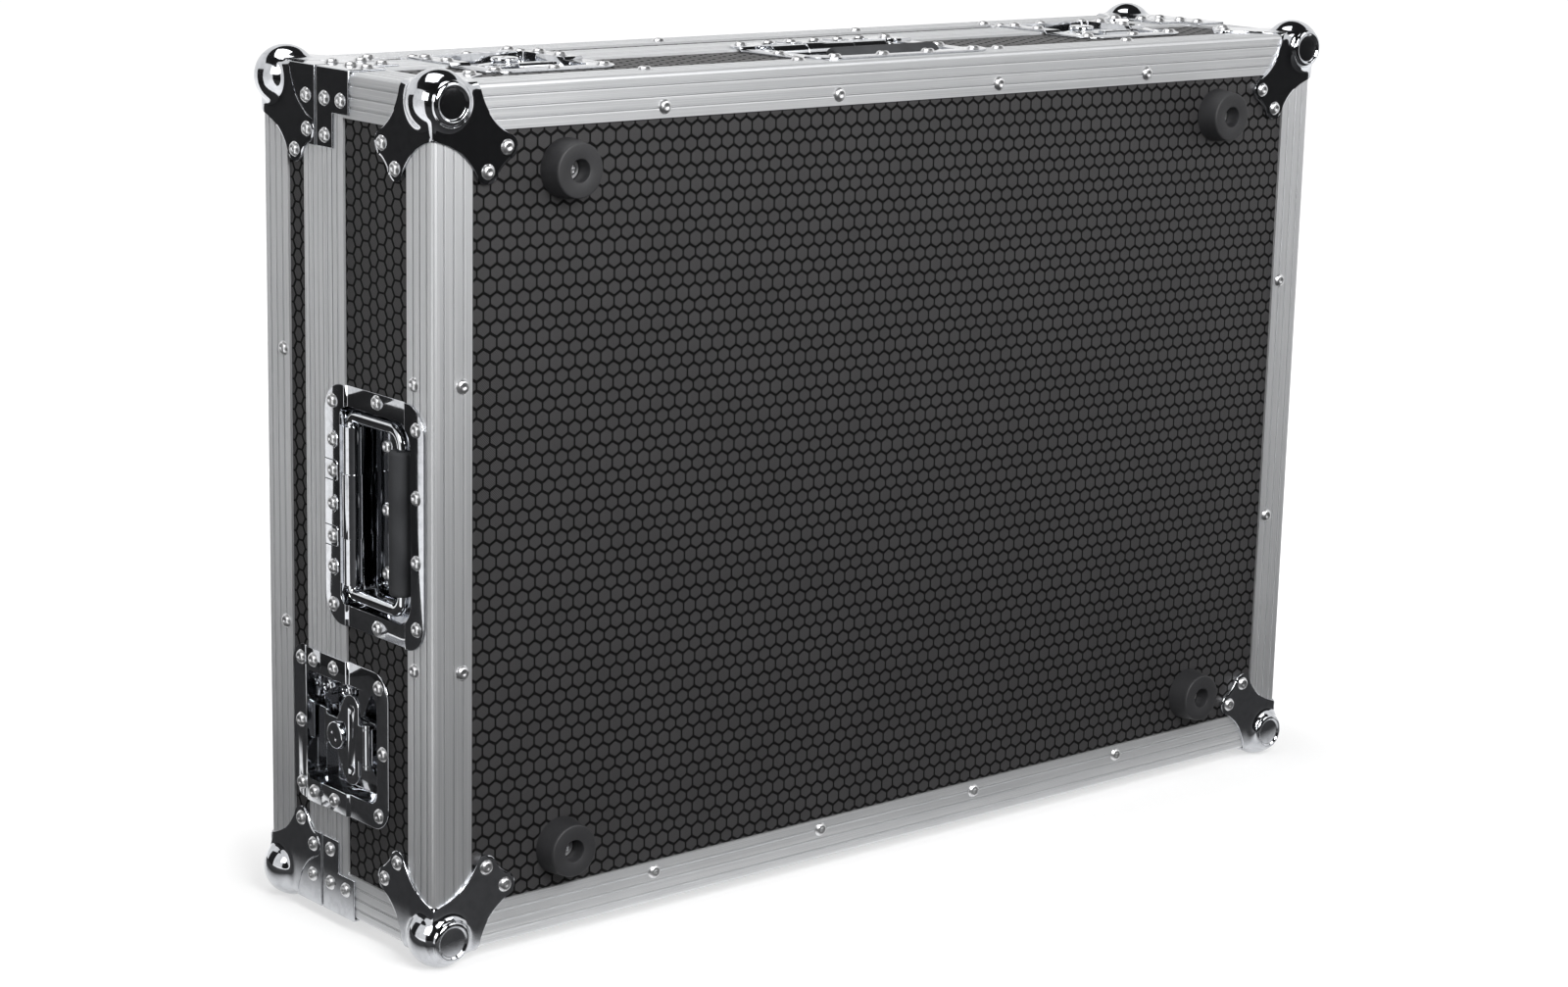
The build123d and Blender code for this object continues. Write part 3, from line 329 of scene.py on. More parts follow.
def chromed_steel(name, tone, shade, shine, ripple):
    """Pressed or drawn steel, chrome plated: a mirror with a faint ripple and slightly hazy patches."""
    made, tree, shader, place = finish(name, Metallic=1.0)
    wave = node(tree, "TexNoise", {"Vector": place, "Scale": 45.0, "Detail": 1.0}, out="Fac")
    haze = node(
        tree, "TexNoise", {"Vector": place, "Scale": 160.0, "Detail": 4.0, "Roughness": 0.6}, out="Fac"
    )
    patch = node(tree, "MapRange", {0: haze, 1: 0.45, 2: 0.75})
    colour = node(tree, "Mix", {0: patch, 6: tone, 7: shade}, data_type="RGBA", out=2)
    rough = node(tree, "Math", {0: patch, 1: 0.05, 2: shine}, operation="MULTIPLY_ADD")
    rolled = node(tree, "Bump", {"Height": wave, "Distance": 0.5 * MM, "Strength": ripple})
    plug(tree, shader, {"Base Color": colour, "Roughness": rough, "Normal": rolled})
    return made


def bright_zinc(name, shine):
    """Zinc-plated steel: satin, with a fine mottle that softens each highlight."""
    made, tree, shader, place = finish(name, Metallic=1.0)
    mottle = node(tree, "TexNoise", {"Vector": place, "Scale": 400.0, "Detail": 3.0}, out="Fac")
    colour = node(tree, "Mix", {0: mottle, 6: "#cfd0d2", 7: "#ececed"}, data_type="RGBA", out=2)
    rough = node(tree, "Math", {0: mottle, 1: 0.15, 2: shine}, operation="MULTIPLY_ADD")
    plug(tree, shader, {"Base Color": colour, "Roughness": rough})
    return made


def moulded_rubber(name, dark, light, pebble_size, matt, glint):
    """Moulded rubber: dull, with a fine pebble that breaks the light and a little dust."""
    made, tree, shader, place = finish(name, IOR=1.52, **{"Specular IOR Level": glint})
    pebble = node(tree, "TexNoise", {"Vector": place, "Scale": 1 / pebble_size, "Detail": 3.0}, out="Fac")
    dust = node(tree, "TexNoise", {"Vector": place, "Scale": 30.0, "Detail": 3.0}, out="Fac")
    dust = node(tree, "MapRange", {0: dust, 1: 0.35, 2: 0.75})
    colour = node(tree, "Mix", {0: dust, 6: dark, 7: light}, data_type="RGBA", out=2)
    rough = node(tree, "Math", {0: pebble, 1: 0.2, 2: matt}, operation="MULTIPLY_ADD")
    skin = node(tree, "Bump", {"Height": pebble, "Distance": 0.15 * MM, "Strength": 0.5})
    plug(tree, shader, {"Base Color": colour, "Roughness": rough, "Normal": skin})
    return made


def cut_foam(name):
    """Dark polyethylene foam, cut from a block: matt, with small open cells whose pits are painted darker as
    painted shade.
    """
    nap = {"Sheen Weight": 0.2, "Sheen Roughness": 0.5}
    made, tree, shader, place = finish(name, Roughness=0.95, **nap)
    cells = node(tree, "TexVoronoi", {"Vector": place, "Scale": 1 / FOAM_CELL}, out="Distance")
    patch = node(tree, "TexNoise", {"Vector": place, "Scale": 18.0, "Detail": 3.0}, out="Fac")
    patch = node(tree, "MapRange", {0: patch, 1: 0.3, 2: 0.75})
    body = node(tree, "Mix", {0: patch, 6: "#242427", 7: "#2f2f33"}, data_type="RGBA", out=2)
    # Painted shade: the pits of the open cells are painted darker.
    pit_painted_shade = node(tree, "MapRange", {0: cells, 1: 0.2, 2: 0.7})
    colour = node(tree, "Mix", {0: pit_painted_shade, 6: "#141416", 7: body}, data_type="RGBA", out=2)
    pitted = node(tree, "Bump", {"Height": cells, "Distance": 0.5 * MM, "Strength": 0.7})
    plug(tree, shader, {"Base Color": colour, "Normal": pitted})
    return made


def looked_at(tree):
    """One for the rays of the camera, mirrors and glass, and nought for the light on other things."""
    rays = node(tree, "LightPath", out=None)
    seen = node(tree, "Math", {0: rays["Is Camera Ray"], 1: rays["Is Glossy Ray"]})
    return node(tree, "Math", {0: seen, 1: rays["Is Transmission Ray"]}, use_clamp=True)


def studio_paper(name):
    """White studio paper with a painted glow for the camera: weaker by the case, so that its shadow stays,
    and full farther off, where it paints shadows out.
    """
    made = bpy.data.materials.new(name)
    tree = blank(made)
    place = node(tree, "TexCoord", out="Object")
    grain = node(tree, "TexNoise", {"Vector": place, "Scale": 300.0}, out="Fac")
    colour = node(tree, "Mix", {0: grain, 6: "#a3a3a3", 7: "#a8a8a8"}, data_type="RGBA", out=2)
    paper = node(tree, "BsdfDiffuse", {"Color": colour})
    middle = (0.0, (BASE_FACE_Y + LID_FACE_Y) / 2, 0.0)
    half = (LENGTH / 2, (LID_FACE_Y - BASE_FACE_Y) / 2, 0.0)
    off = node(tree, "VectorMath", {0: place, 1: middle}, operation="SUBTRACT")
    off = node(tree, "VectorMath", {0: off}, operation="ABSOLUTE")
    off = node(tree, "VectorMath", {0: off, 1: half}, operation="SUBTRACT")
    off = node(tree, "VectorMath", {0: off, 1: (0.0, 0.0, 0.0)}, operation="MAXIMUM")
    off = node(tree, "VectorMath", {0: off}, operation="LENGTH", out="Value")
    # Painted glow: weaker within PAPER_REACH of the case's footprint, and full beyond, where it whites out
    # the shadow.
    span = {0: off, 1: 0.0, 2: PAPER_REACH, 3: PAPER_NEAR, 4: PAPER_FAR}
    lift = node(tree, "MapRange", span, interpolation_type="SMOOTHSTEP")
    lift = node(tree, "Math", {0: looked_at(tree), 1: lift}, operation="MULTIPLY")
    glow = node(tree, "Emission", {"Color": "#ffffff", "Strength": lift})
    both = node(tree, "AddShader", {0: paper, 1: glow})
    node(tree, "OutputMaterial", {"Surface": both}, out=None)
    return made


def painted_reflection_black(name):
    """Black for the cards that only the bright metal mirrors, as painted dark reflections: matt, with a
    faint nap.

    It thins out within 6 cm of the case, so that the metal keeps the white paper at its foot.
    """
    made, tree, shader, place = finish(name, Roughness=0.9)
    x, y, z = node(tree, "SeparateXYZ", {0: place}, out=None)
    front = node(tree, "Math", {0: BASE_FACE_Y, 1: y}, operation="SUBTRACT")
    end = node(tree, "Math", {0: -LENGTH / 2, 1: x}, operation="SUBTRACT")
    off = node(tree, "Math", {0: front, 1: end}, operation="MAXIMUM")
    off = node(tree, "Math", {0: off, 1: z}, operation="MAXIMUM")
    thick = node(tree, "MapRange", {0: off, 1: 0.005, 2: 0.06}, interpolation_type="SMOOTHSTEP")
    nap = node(tree, "TexNoise", {"Vector": place, "Scale": 60.0}, out="Fac")
    colour = node(tree, "Mix", {0: nap, 6: "#151516", 7: "#1f1f21"}, data_type="RGBA", out=2)
    plug(tree, shader, {"Base Color": colour, "Alpha": thick})
    return made


LAMINATE = {
    "face": hex_laminate("honeycomb_laminate_faces", (math.radians(-90), 0.0, 0.0)),
    "end": hex_laminate("honeycomb_laminate_ends", (0.0, math.radians(90), 0.0)),
    "side": hex_laminate("honeycomb_laminate_sides", (0.0, 0.0, math.radians(90))),
}
ALUMINIUM = drawn_aluminium("anodised_aluminium_extrusion")
CHROME = chromed_steel("chromed_pressed_steel", "#c9cbcf", "#b4b6ba", 0.06, 0.12)
BRIGHT_ROD = chromed_steel("chromed_drawn_steel", "#d4d6d9", "#c2c4c8", 0.04, 0.04)
RIVET = bright_zinc("zinc_plated_rivet_steel", 0.24)
ZINC = bright_zinc("zinc_plated_screw_steel", 0.28)
FOOT = moulded_rubber("moulded_rubber_foot", "#1b1b1d", "#242426", 2.0 * MM, 0.5, 0.5)
GRIP = moulded_rubber("moulded_rubber_grip", "#303133", "#3c3d3f", 0.9 * MM, 0.75, 0.15)
FOAM = cut_foam("cut_polyethylene_foam")


# Mesh helpers


def piece(name, mesh, body, material, source):
    """A finished piece at the origin, on its body and with its finish, that stands for a CAD node."""
    mesh.name = name
    mesh.materials.clear()
    mesh.materials.append(material)
    made = linked(name, mesh)
    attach(made, body)
    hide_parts(source)
    return made


def written(work, name):
    """The worked mesh as mesh data."""
    mesh = bpy.data.meshes.new(name)
    work.to_mesh(mesh)
    work.free()
    return mesh


def smoothed(mesh, sharp):
    """The mesh with smooth shading up to a sharp angle."""
    mesh.shade_smooth()
    mesh.set_sharp_from_angle(angle=math.radians(sharp))
    return mesh


def settled(work, name, sharp=40):
    """The worked mesh with doubles merged, faces outwards and smooth shading."""
    bmesh.ops.remove_doubles(work, verts=work.verts, dist=0.02 * MM)
    bmesh.ops.recalc_face_normals(work, faces=work.faces)
    return smoothed(written(work, name), sharp)


def plain_mesh(carrier):
    """What an object's modifiers make of its mesh. The object itself goes."""
    graph = bpy.context.evaluated_depsgraph_get()
    mesh = bpy.data.meshes.new_from_object(carrier.evaluated_get(graph))
    bpy.data.objects.remove(carrier)
    return mesh


def joined_copy(name):
    """A copy of a CAD node's triangles with shared corners merged and flat faces joined up."""
    work = bmesh.new()
    work.from_mesh(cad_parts[name].data)
    bmesh.ops.remove_doubles(work, verts=work.verts, dist=1e-6)
    bmesh.ops.dissolve_limit(work, angle_limit=math.radians(1.0), verts=work.verts, edges=work.edges)
    return work


def eased(work, name, width, segments=2):
    """The worked mesh with its sharp edges eased by a small bevel."""
    carrier = linked(name + "_easing", smoothed(written(work, name), 80))
    bevel = carrier.modifiers.new("edge", "BEVEL")
    bevel.width = width
    bevel.segments = segments
    bevel.limit_method = "ANGLE"
    bevel.angle_limit = math.radians(35)
    even = carrier.modifiers.new("even", "WEIGHTED_NORMAL")
    even.keep_sharp = True
    return plain_mesh(carrier)


def merged(meshes, name):
    """Several meshes as one."""
    work = bmesh.new()
    for mesh in meshes:
        work.from_mesh(mesh)
    return settled(work, name)


def ring_strip(work, near, far):
    """Quads between two rings of points of the same count."""
    count = len(near)
    for step in range(count):
        after = (step + 1) % count
        work.faces.new((near[step], near[after], far[after], far[step]))


def tube(work, path, radius, sides=20):
    """A round bar along a smooth path of points in metres, closed at both ends."""
    ahead = (path[1] - path[0]).normalized()
    side = ahead.orthogonal().normalized()
    rings = []
    for step, point in enumerate(path):
        nearby = path[min(step + 1, len(path) - 1)] - path[max(step - 1, 0)]
        turn = ahead.rotation_difference(nearby.normalized())
        ahead = nearby.normalized()
        side = (turn @ side).normalized()
        up = ahead.cross(side)
        angles = [2 * math.pi * k / sides for k in range(sides)]
        ways = [side * math.cos(a) + up * math.sin(a) for a in angles]
        rings.append([work.verts.new(point + way * radius) for way in ways])
    for near, far in zip(rings, rings[1:]):
        ring_strip(work, near, far)
    work.faces.new(rings[0][::-1])
    work.faces.new(rings[-1])


def turned(work, place, profile, sides=32):
    """A turned shape round the local Z axis of place, from (radius, height) pairs.

    A radius of nought closes it on the axis.
    """
    rings = []
    for radius, height in profile:
        if radius < 1e-6:
            rings.append([work.verts.new(place @ Vector((0.0, 0.0, height)))])
            continue
        angles = [2 * math.pi * k / sides for k in range(sides)]
        points = [Vector((radius * math.cos(a), radius * math.sin(a), height)) for a in angles]
        rings.append([work.verts.new(place @ point) for point in points])
    for near, far in zip(rings, rings[1:]):
        if len(near) == 1 or len(far) == 1:
            tip, ring = (near[0], far) if len(near) == 1 else (far[0], near)
            for step in range(sides):
                work.faces.new((tip, ring[step], ring[(step + 1) % sides]))
        else:
            ring_strip(work, near, far)


def arc(centre, radius, start, stop, steps):
    """Points round an arc in the plane, in degrees."""
    angles = [math.radians(start + (stop - start) * k / steps) for k in range(steps + 1)]
    return [(centre[0] + radius * math.cos(a), centre[1] + radius * math.sin(a)) for a in angles]


# Ball corners


def plate_outline():
    """One leg plate's outline from the case's corner, in millimetres, and where it is a free edge."""

    def through(first, middle, last, steps):
        """Points on the arc through three given ones."""
        a, b, c = (complex(*point) for point in (first, middle, last))
        w = (c - a) / (b - a)
        centre = (b - a) * (w - abs(w) ** 2) / (2j * w.imag) + a
        turn = [math.atan2((p - centre).imag, (p - centre).real) for p in (a, b, c)]
        sweep = (turn[2] - turn[0] + math.pi) % (2 * math.pi) - math.pi
        mid = (turn[1] - turn[0] + math.pi) % (2 * math.pi) - math.pi
        if mid * sweep < 0 or abs(mid) > abs(sweep):
            sweep -= math.copysign(2 * math.pi, sweep)
        radius = abs(a - centre)
        angles = [turn[0] + sweep * k / steps for k in range(steps + 1)]
        return [(centre.real + radius * math.cos(g), centre.imag + radius * math.sin(g)) for g in angles]

    level = BALL_INSET + PLATE
    edge = [(BALL_INSET + level * math.tan(math.radians(angle)), -PLATE) for angle in range(-45, 61, 5)]
    edge.append((35.0, -PLATE))
    free = [(35.0, -0.6)]
    free += through((35.0, 0.0), (42.0, 18.0), (61.1, 34.2), 14)
    free += through((61.1, 34.2), (64.3, 41.85), (59.8, 48.6), 7)[1:]
    free += through((59.8, 48.6), (53.2, 53.2), (48.6, 59.8), 6)[1:4]
    half = [(point, False) for point in edge] + [(point, True) for point in free]
    other = [((y, x), is_free) for (x, y), is_free in half]
    return half + other[::-1][1:-1]


def leg_surface(work, place, outline, rings, dimpled):
    """A leg plate flared into its third of the ball, as height over the case's face along spokes.

    A spoke leaves the ball's axis for each point of the outline. rings says how far out its points
    are, up to the knee where the ball has turned into the plate. A free edge is rolled down.
    """
    middle = BALL_INSET
    level = BALL_INSET + PLATE
    spokes = []
    for (x, y), is_free in outline:
        away = Vector((x - middle, y - middle))
        reach = away.length
        away.normalize()
        knee = min(LEG_KNEE, 0.9 * reach)
        shrink = (knee - DIMPLE_RING) / (LEG_KNEE - DIMPLE_RING)
        offs = [min(ring, DIMPLE_RING) + max(ring - DIMPLE_RING, 0.0) * shrink for ring in rings]
        offs += [knee + (reach - knee) * share for share in (0.25, 0.5, 0.75, 0.93)]
        offs += [reach - 0.3, reach]
        spoke = []
        for step, off in enumerate(offs):
            ray = Vector((away.x * off, away.y * off, level))
            outs = [max(0.0, -ray.x), max(0.0, -ray.y), level]
            blunt = sum(out**8 for out in outs) ** (1 / 8)
            flat = level * ray.length / blunt
            blend = max(BALL_FILLET - abs(flat - BALL_RADIUS), 0.0) / BALL_FILLET
            length = max(flat, BALL_RADIUS) + blend * blend * BALL_FILLET / 4
            if dimpled:
                length = dimple_length(ray, length)
            at = ray.normalized() * length
            drop = {len(offs) - 2: 0.15, len(offs) - 1: 0.55}.get(step, 0.0) if is_free else 0.0
            at += Vector((middle, middle, -middle - drop))
            spoke.append(work.verts.new(place @ at))
        foot = -PANEL_SINK / MM if min(x, y) > ANGLE_LEG else 0.0
        under = work.verts.new(place @ Vector((max(x, 0.0), max(y, 0.0), foot)))
        spokes.append((spoke, under, is_free))
    heart = work.verts.new(place @ Vector((middle, middle, 0.0)))
    for step, (spoke, under, is_free) in enumerate(spokes):
        after, under_after, after_free = spokes[(step + 1) % len(spokes)]
        for near, far in zip(range(len(spoke) - 1), range(1, len(spoke))):
            if near == 0:
                work.faces.new((spoke[0], spoke[1], after[1]))
            else:
                work.faces.new((spoke[near], spoke[far], after[far], after[near]))
        if is_free or after_free:
            work.faces.new((spoke[-1], under, under_after, after[-1]))
        work.faces.new((under, heart, under_after))


def dimple_length(ray, length):
    """The dished and ringed pole of a ball, as a distance from its centre along a ray."""
    slope = math.hypot(ray.x, ray.y) / ray.z
    slant = math.hypot(1.0, slope)
    dish = (DISH_FLOOR - 0.9 * slope * slope) * slant
    if slope < DISH_SLOPE:
        return dish
    if slope < LIP_SLOPE:
        share = (slope - DISH_SLOPE) / (LIP_SLOPE - DISH_SLOPE)
        return dish + (BALL_RADIUS + LIP_RISE - dish) * share * share * (3 - 2 * share)
    if slope < RING_SLOPE:
        share = (slope - LIP_SLOPE) / (RING_SLOPE - LIP_SLOPE)
        return BALL_RADIUS + LIP_RISE * (1 - share) + RING_RISE * math.sin(math.pi * share)
    return length


def corner_frame(x_side, z_side, face_y, towards, first, second):
    """A corner's own frame in millimetres: two edges to draw along and the face's outward normal."""
    axes = {"x": Vector((-x_side, 0, 0)), "y": Vector((0, -towards, 0)), "z": Vector((0, 0, -z_side))}
    third = ({"x", "y", "z"} - {first, second}).pop()
    turn = Matrix((axes[first], axes[second], -axes[third])).transposed().to_4x4()
    corner = Vector((x_side * LENGTH / 2, face_y, MID_Z + z_side * WIDTH / 2))
    return Matrix.Translation(corner) @ turn @ Matrix.Scale(MM, 4)


def ball_corners(body, face_y, towards, dimpled):
    """Four pressed ball corners: each a ball with three lobed legs lying on the case's edges."""
    plain_rings = (0.0, 2.5, 5.0, 7.5, 10.0, 12.0, 13.6, 15.0, 16.2, 17.4, 18.8, 20.6, 23.0, LEG_KNEE)
    dimple_rings = (0.0, 2.0, 4.0, 5.6, 6.8, 7.4, 7.62, 7.75, 7.9, 8.05, 8.2, DIMPLE_RING)
    dimple_rings += (9.0, 9.6, 10.2, 10.8, 11.5, 12.2, 13.0) + plain_rings[7:]
    outline = plate_outline()
    work = bmesh.new()
    for x_side in (-1, 1):
        for z_side in (-1, 1):
            for first, second in (("x", "z"), ("x", "y"), ("y", "z")):
                on_face = first + second == "xz"
                rings = dimple_rings if dimpled and on_face else plain_rings
                place = corner_frame(x_side, z_side, face_y, towards, first, second)
                leg_surface(work, place, outline, rings, dimpled and on_face)
    name = body + "_pressed_ball_corners"
    piece(name, settled(work, name, 50), body, CHROME, body + "_ball_corners")


# Rivets, one for each pointed head that the part has


def rivet_places(source):
    """The middle of each pointed head's foot and the way that it faces."""
    work = bmesh.new()
    work.from_mesh(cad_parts[source].data)
    bmesh.ops.remove_doubles(work, verts=work.verts, dist=1e-6)
    places, seen = [], set()
    for start in work.verts:
        if start.index in seen:
            continue
        island, queue = [], [start]
        seen.add(start.index)
        while queue:
            vert = queue.pop()
            island.append(vert.co.copy())
            for edge in vert.link_edges:
                other = edge.other_vert(vert)
                if other.index not in seen:
                    seen.add(other.index)
                    queue.append(other)
        middle = sum(island, Vector()) / len(island)
        tip = min(island, key=lambda co: (co - middle).length)
        foot = sum((co for co in island if co != tip), Vector()) / (len(island) - 1)
        places.append((foot, (tip - foot).normalized()))
    work.free()
    return places


def rivet_tree():
    """Geometry nodes that set a domed head with a dimple on every point, along its facing."""
    tree = bpy.data.node_groups.new("rivet_heads", "GeometryNodeTree")
    tree.interface.new_socket("Points", in_out="INPUT", socket_type="NodeSocketGeometry")
    for label, value in HEAD_SIZES.items():
        kind = "NodeSocketInt" if isinstance(value, int) else "NodeSocketFloat"
        tree.interface.new_socket(label, in_out="INPUT", socket_type=kind).default_value = value
    tree.interface.new_socket("Heads", in_out="OUTPUT", socket_type="NodeSocketGeometry")
    given = node(tree, "NodeGroupInput", out=None)
    sizes = {
        "Vertices": given["Sides"],
        "Side Segments": 5,
        "Radius Top": 0.0,
        "Radius Bottom": given["Head Radius"],
        "Depth": given["Head Height"],
    }
    cone = node(tree, "GeometryNodeMeshCone", sizes, out="Mesh")
    at = node(tree, "GeometryNodeInputPosition")
    flat = node(tree, "VectorMath", {0: at, 1: (1.0, 1.0, 0.0)}, operation="MULTIPLY")
    off = node(tree, "VectorMath", {0: flat}, operation="LENGTH", out="Value")
    share = node(tree, "Math", {0: off, 1: given["Head Radius"]}, operation="DIVIDE")
    square = node(tree, "Math", {0: share, 1: share}, operation="MULTIPLY")
    left = node(tree, "Math", {0: 1.0, 1: square}, operation="SUBTRACT", use_clamp=True)
    dome = node(tree, "Math", {0: left}, operation="SQRT")
    dip = node(tree, "MapRange", {0: share, 1: 0.1, 2: 0.5, 3: 1.0, 4: 0.0}, interpolation_type="SMOOTHSTEP")
    dip = node(tree, "Math", {0: dip, 1: given["Dimple"]}, operation="MULTIPLY")
    rise = node(tree, "Math", {0: dome, 1: dip}, operation="SUBTRACT")
    rise = node(tree, "Math", {0: rise, 1: given["Head Height"]}, operation="MULTIPLY")
    lift = node(tree, "CombineXYZ", {2: rise})
    shaped = node(tree, "VectorMath", {0: flat, 1: lift}, operation="ADD")
    head = node(tree, "GeometryNodeSetPosition", {"Geometry": cone, "Position": shaped})
    stored = {"Name": "facing"}
    facing = node(
        tree, "GeometryNodeInputNamedAttribute", stored, data_type="FLOAT_VECTOR", out="Attribute"
    )
    turn = node(tree, "FunctionNodeAlignRotationToVector", {"Vector": facing}, axis="Z")
    heads = node(
        tree, "GeometryNodeInstanceOnPoints", {"Points": given["Points"], "Instance": head, "Rotation": turn}
    )
    real = node(tree, "GeometryNodeRealizeInstances", {0: heads})
    dressed = node(tree, "GeometryNodeSetMaterial", {"Geometry": real, "Material": RIVET})
    node(tree, "NodeGroupOutput", {"Heads": dressed}, out=None)
    return tree


def rivets(body, tree):
    """One body's domed rivet heads, set by geometry nodes on the feet of the part's heads."""
    places = rivet_places(body + "_rivets")
    points = bpy.data.meshes.new(body + "_rivet_points")
    points.from_pydata([foot for foot, _ in places], [], [])
    attribute = points.attributes.new("facing", "FLOAT_VECTOR", "POINT")
    for index, (_, way) in enumerate(places):
        attribute.data[index].vector = way
    carrier = linked(body + "_rivet_carrier", points)
    modifier = carrier.modifiers.new("heads", "NODES")
    modifier.node_group = tree
    for socket in tree.interface.items_tree:
        if socket.name in HEAD_SIZES:
            modifier[socket.identifier] = HEAD_SIZES[socket.name]
    mesh = smoothed(plain_mesh(carrier), 60)
    piece(body + "_domed_rivets", mesh, body, RIVET, body + "_rivets")


# Sprung handles


def bail_path():
    """The bent rod's middle line in the handle's plane, in millimetres from the seam."""
    half = [(x, -PIVOT_DOWN) for x in (37.0, 46.0, 52.0)]
    half += arc((55.0, -PIVOT_DOWN - 6.0), 6.0, 90, 0, 8)
    half += [(61.0, y) for y in (-50.0, -65.0, -76.0)]
    half += arc((49.0, 12.0 - GRIP_DOWN), 12.0, 0, -90, 12)
    half += [(x, -GRIP_DOWN) for x in (35.0, 17.0)]
    return half + [(-x, y) for x, y in half[::-1]]


def flange_beads(place):
    """Fine pressed beads round the rivets on the flange's seam side: open loops and half moons."""
    work = bmesh.new()
    for row in (22.5, -22.5):
        loop = [(row - 6.9, -8.6), (row - 6.9, -13.0), (row - 6.9, -18.0)]
        loop += arc((row - 4.4, -20.6), 2.5, 180, 270, 5)
        loop += arc((row + 4.4, -20.6), 2.5, 270, 360, 5)
        loop += [(row + 6.9, -18.0), (row + 6.9, -13.0), (row + 6.9, -8.6)]
        tube(work, [place @ Vector((x, y, 1.5)) for x, y in loop], 0.4 * MM, 8)
    for row in (43.5, 0.0, -43.5):
        loop = arc((row, -16.6), 6.6, 205, 335, 12)
        tube(work, [place @ Vector((x, y, 1.5)) for x, y in loop], 0.45 * MM, 8)
    return settled(work, "flange_beads", 60)


def bent_rod(place):
    """The bail, bent from round rod."""
    work = bmesh.new()
    tube(work, [place @ Vector((x, y, -ROD_DEPTH)) for x, y in bail_path()], ROD_RADIUS * MM, 24)
    return work


def rubber_grip(place):
    """The grip round the bail, with a rolled lip at each end."""
    work = bmesh.new()
    middle = Matrix.Translation((0.0, -GRIP_DOWN, -3.8))
    half = GRIP_LENGTH / 2
    ends = [(4.0, 1.0), (5.6, 0.3), (6.9, 0.0), (7.8, 0.4), (8.5, 1.2), (8.9, 2.4), (GRIP_RADIUS, 4.0)]
    profile = [(radius, along - half) for radius, along in ends]
    profile += [(GRIP_RADIUS, GRIP_LENGTH * share) for share in (-0.3, -0.1, 0.1, 0.3)]
    profile += [(radius, half - along) for radius, along in ends[::-1]]
    turned(work, place @ middle @ Matrix.Rotation(math.radians(90), 4, "Y"), profile + profile[:1])
    return work


def coil_spring(place):
    """The torsion spring round the pivot, as one coil of wire."""
    turns, steps, half, radius = 14, 16, 35.0, 3.2
    coil = []
    for step in range(turns * steps + 1):
        share = step / (turns * steps)
        angle = 2 * math.pi * turns * share
        up, out = radius * math.cos(angle), radius * math.sin(angle)
        coil.append(place @ Vector((half * (2 * share - 1), up - PIVOT_DOWN, out - ROD_DEPTH)))
    work = bmesh.new()
    tube(work, coil, 0.65 * MM, 8)
    return work


def handle(name):
    """One wall's sprung handle: the rod, its grip and spring, and the pressed dish with its beads."""
    place = wall_frame(name)
    bail = name + "_bail"
    parts = (
        ("bent_rod", bent_rod, 60, bail, "chromed_steel", BRIGHT_ROD, "_handle_bail"),
        ("rubber_grip", rubber_grip, 50, bail, "grip_rubber", GRIP, "_handle_grip"),
        ("coil_spring", coil_spring, 60, "base", "zinc_steel", ZINC, "_handle_spring"),
    )
    for label, shape, sharp, body, slot, material, source in parts:
        label = name + "_handle_" + label
        piece(label, settled(shape(place), label, sharp), body, material, name + source)

    label = name + "_handle_pressed_dish"
    dish = eased(joined_copy(name + "_handle_dish"), label, 0.5 * MM)
    dish = merged([dish, flange_beads(place)], label)
    piece(label, dish, "base", CHROME, name + "_handle_dish")


# Turn latches


def wing_outline():
    """The wing's edge on its wall, in millimetres: a bulge with two round ends, straight at the hinge."""
    rounds = ((0.0, -31.0, 18.5), (21.8, -33.0, 9.7), (-21.8, -33.0, 9.7))
    points = [point for x, y, radius in rounds for point in arc((x, y), radius, 0, 360, 60)]
    points = [Vector((x, max(y, -42.5))) for x, y in points]
    return [points[index] for index in convex_hull_2d(points)]


def rounded_plate(work, place, outline, low, high, ease):
    """A flat plate over a convex outline, with its upper and lower edges rounded."""
    count = len(outline)
    inward = []
    for step, point in enumerate(outline):
        along = (outline[(step + 1) % count] - outline[step - 1]).normalized()
        inward.append(Vector((-along.y, along.x)))
    middle = sum(outline, Vector((0.0, 0.0))) / count
    if (middle - outline[0]).dot(inward[0]) < 0:
        inward = [-way for way in inward]
    turns = [math.radians(angle) for angle in (0, 25, 50, 75, 90)]
    steps = [(ease * (1 - math.sin(a)), low + ease * (1 - math.cos(a))) for a in turns]
    steps += [(ease * (1 - math.cos(a)), high - ease * (1 - math.sin(a))) for a in turns]
    rings = []
    for inset, height in steps:
        flat = [point + way * inset for point, way in zip(outline, inward)]
        rings.append([work.verts.new(place @ Vector((x, y, height))) for x, y in flat])
    for near, far in zip(rings, rings[1:]):
        ring_strip(work, near, far)
    work.faces.new(rings[0])
    work.faces.new(rings[-1])


def carved(mesh, cutter, name):
    """The mesh with what the cutter fills taken away."""
    bmesh.ops.recalc_face_normals(cutter, faces=cutter.faces)
    tool = linked(name + "_cutter", written(cutter, name + "_cutter"))
    carrier = linked(name + "_carving", mesh)
    cut = carrier.modifiers.new("carving", "BOOLEAN")
    cut.operation = "DIFFERENCE"
    cut.solver = "EXACT"
    cut.use_self = True
    cut.object = tool
    made = smoothed(plain_mesh(carrier), 35)
    bpy.data.objects.remove(tool)
    return made


def wing_plate(name, place):
    """The wing's finger plate, with a dent for a fingertip at each end."""
    work, cutter = bmesh.new(), bmesh.new()
    rounded_plate(work, place, wing_outline(), WING_BACK, WING_TOP, 0.6)
    for x in (21.0, -21.0):
        at = place @ Matrix.Translation((x, -33.5, WING_TOP + 6.0))
        bmesh.ops.create_uvsphere(cutter, u_segments=32, v_segments=24, radius=7.0, matrix=at)
    return carved(settled(work, name + "_plate"), cutter, name)


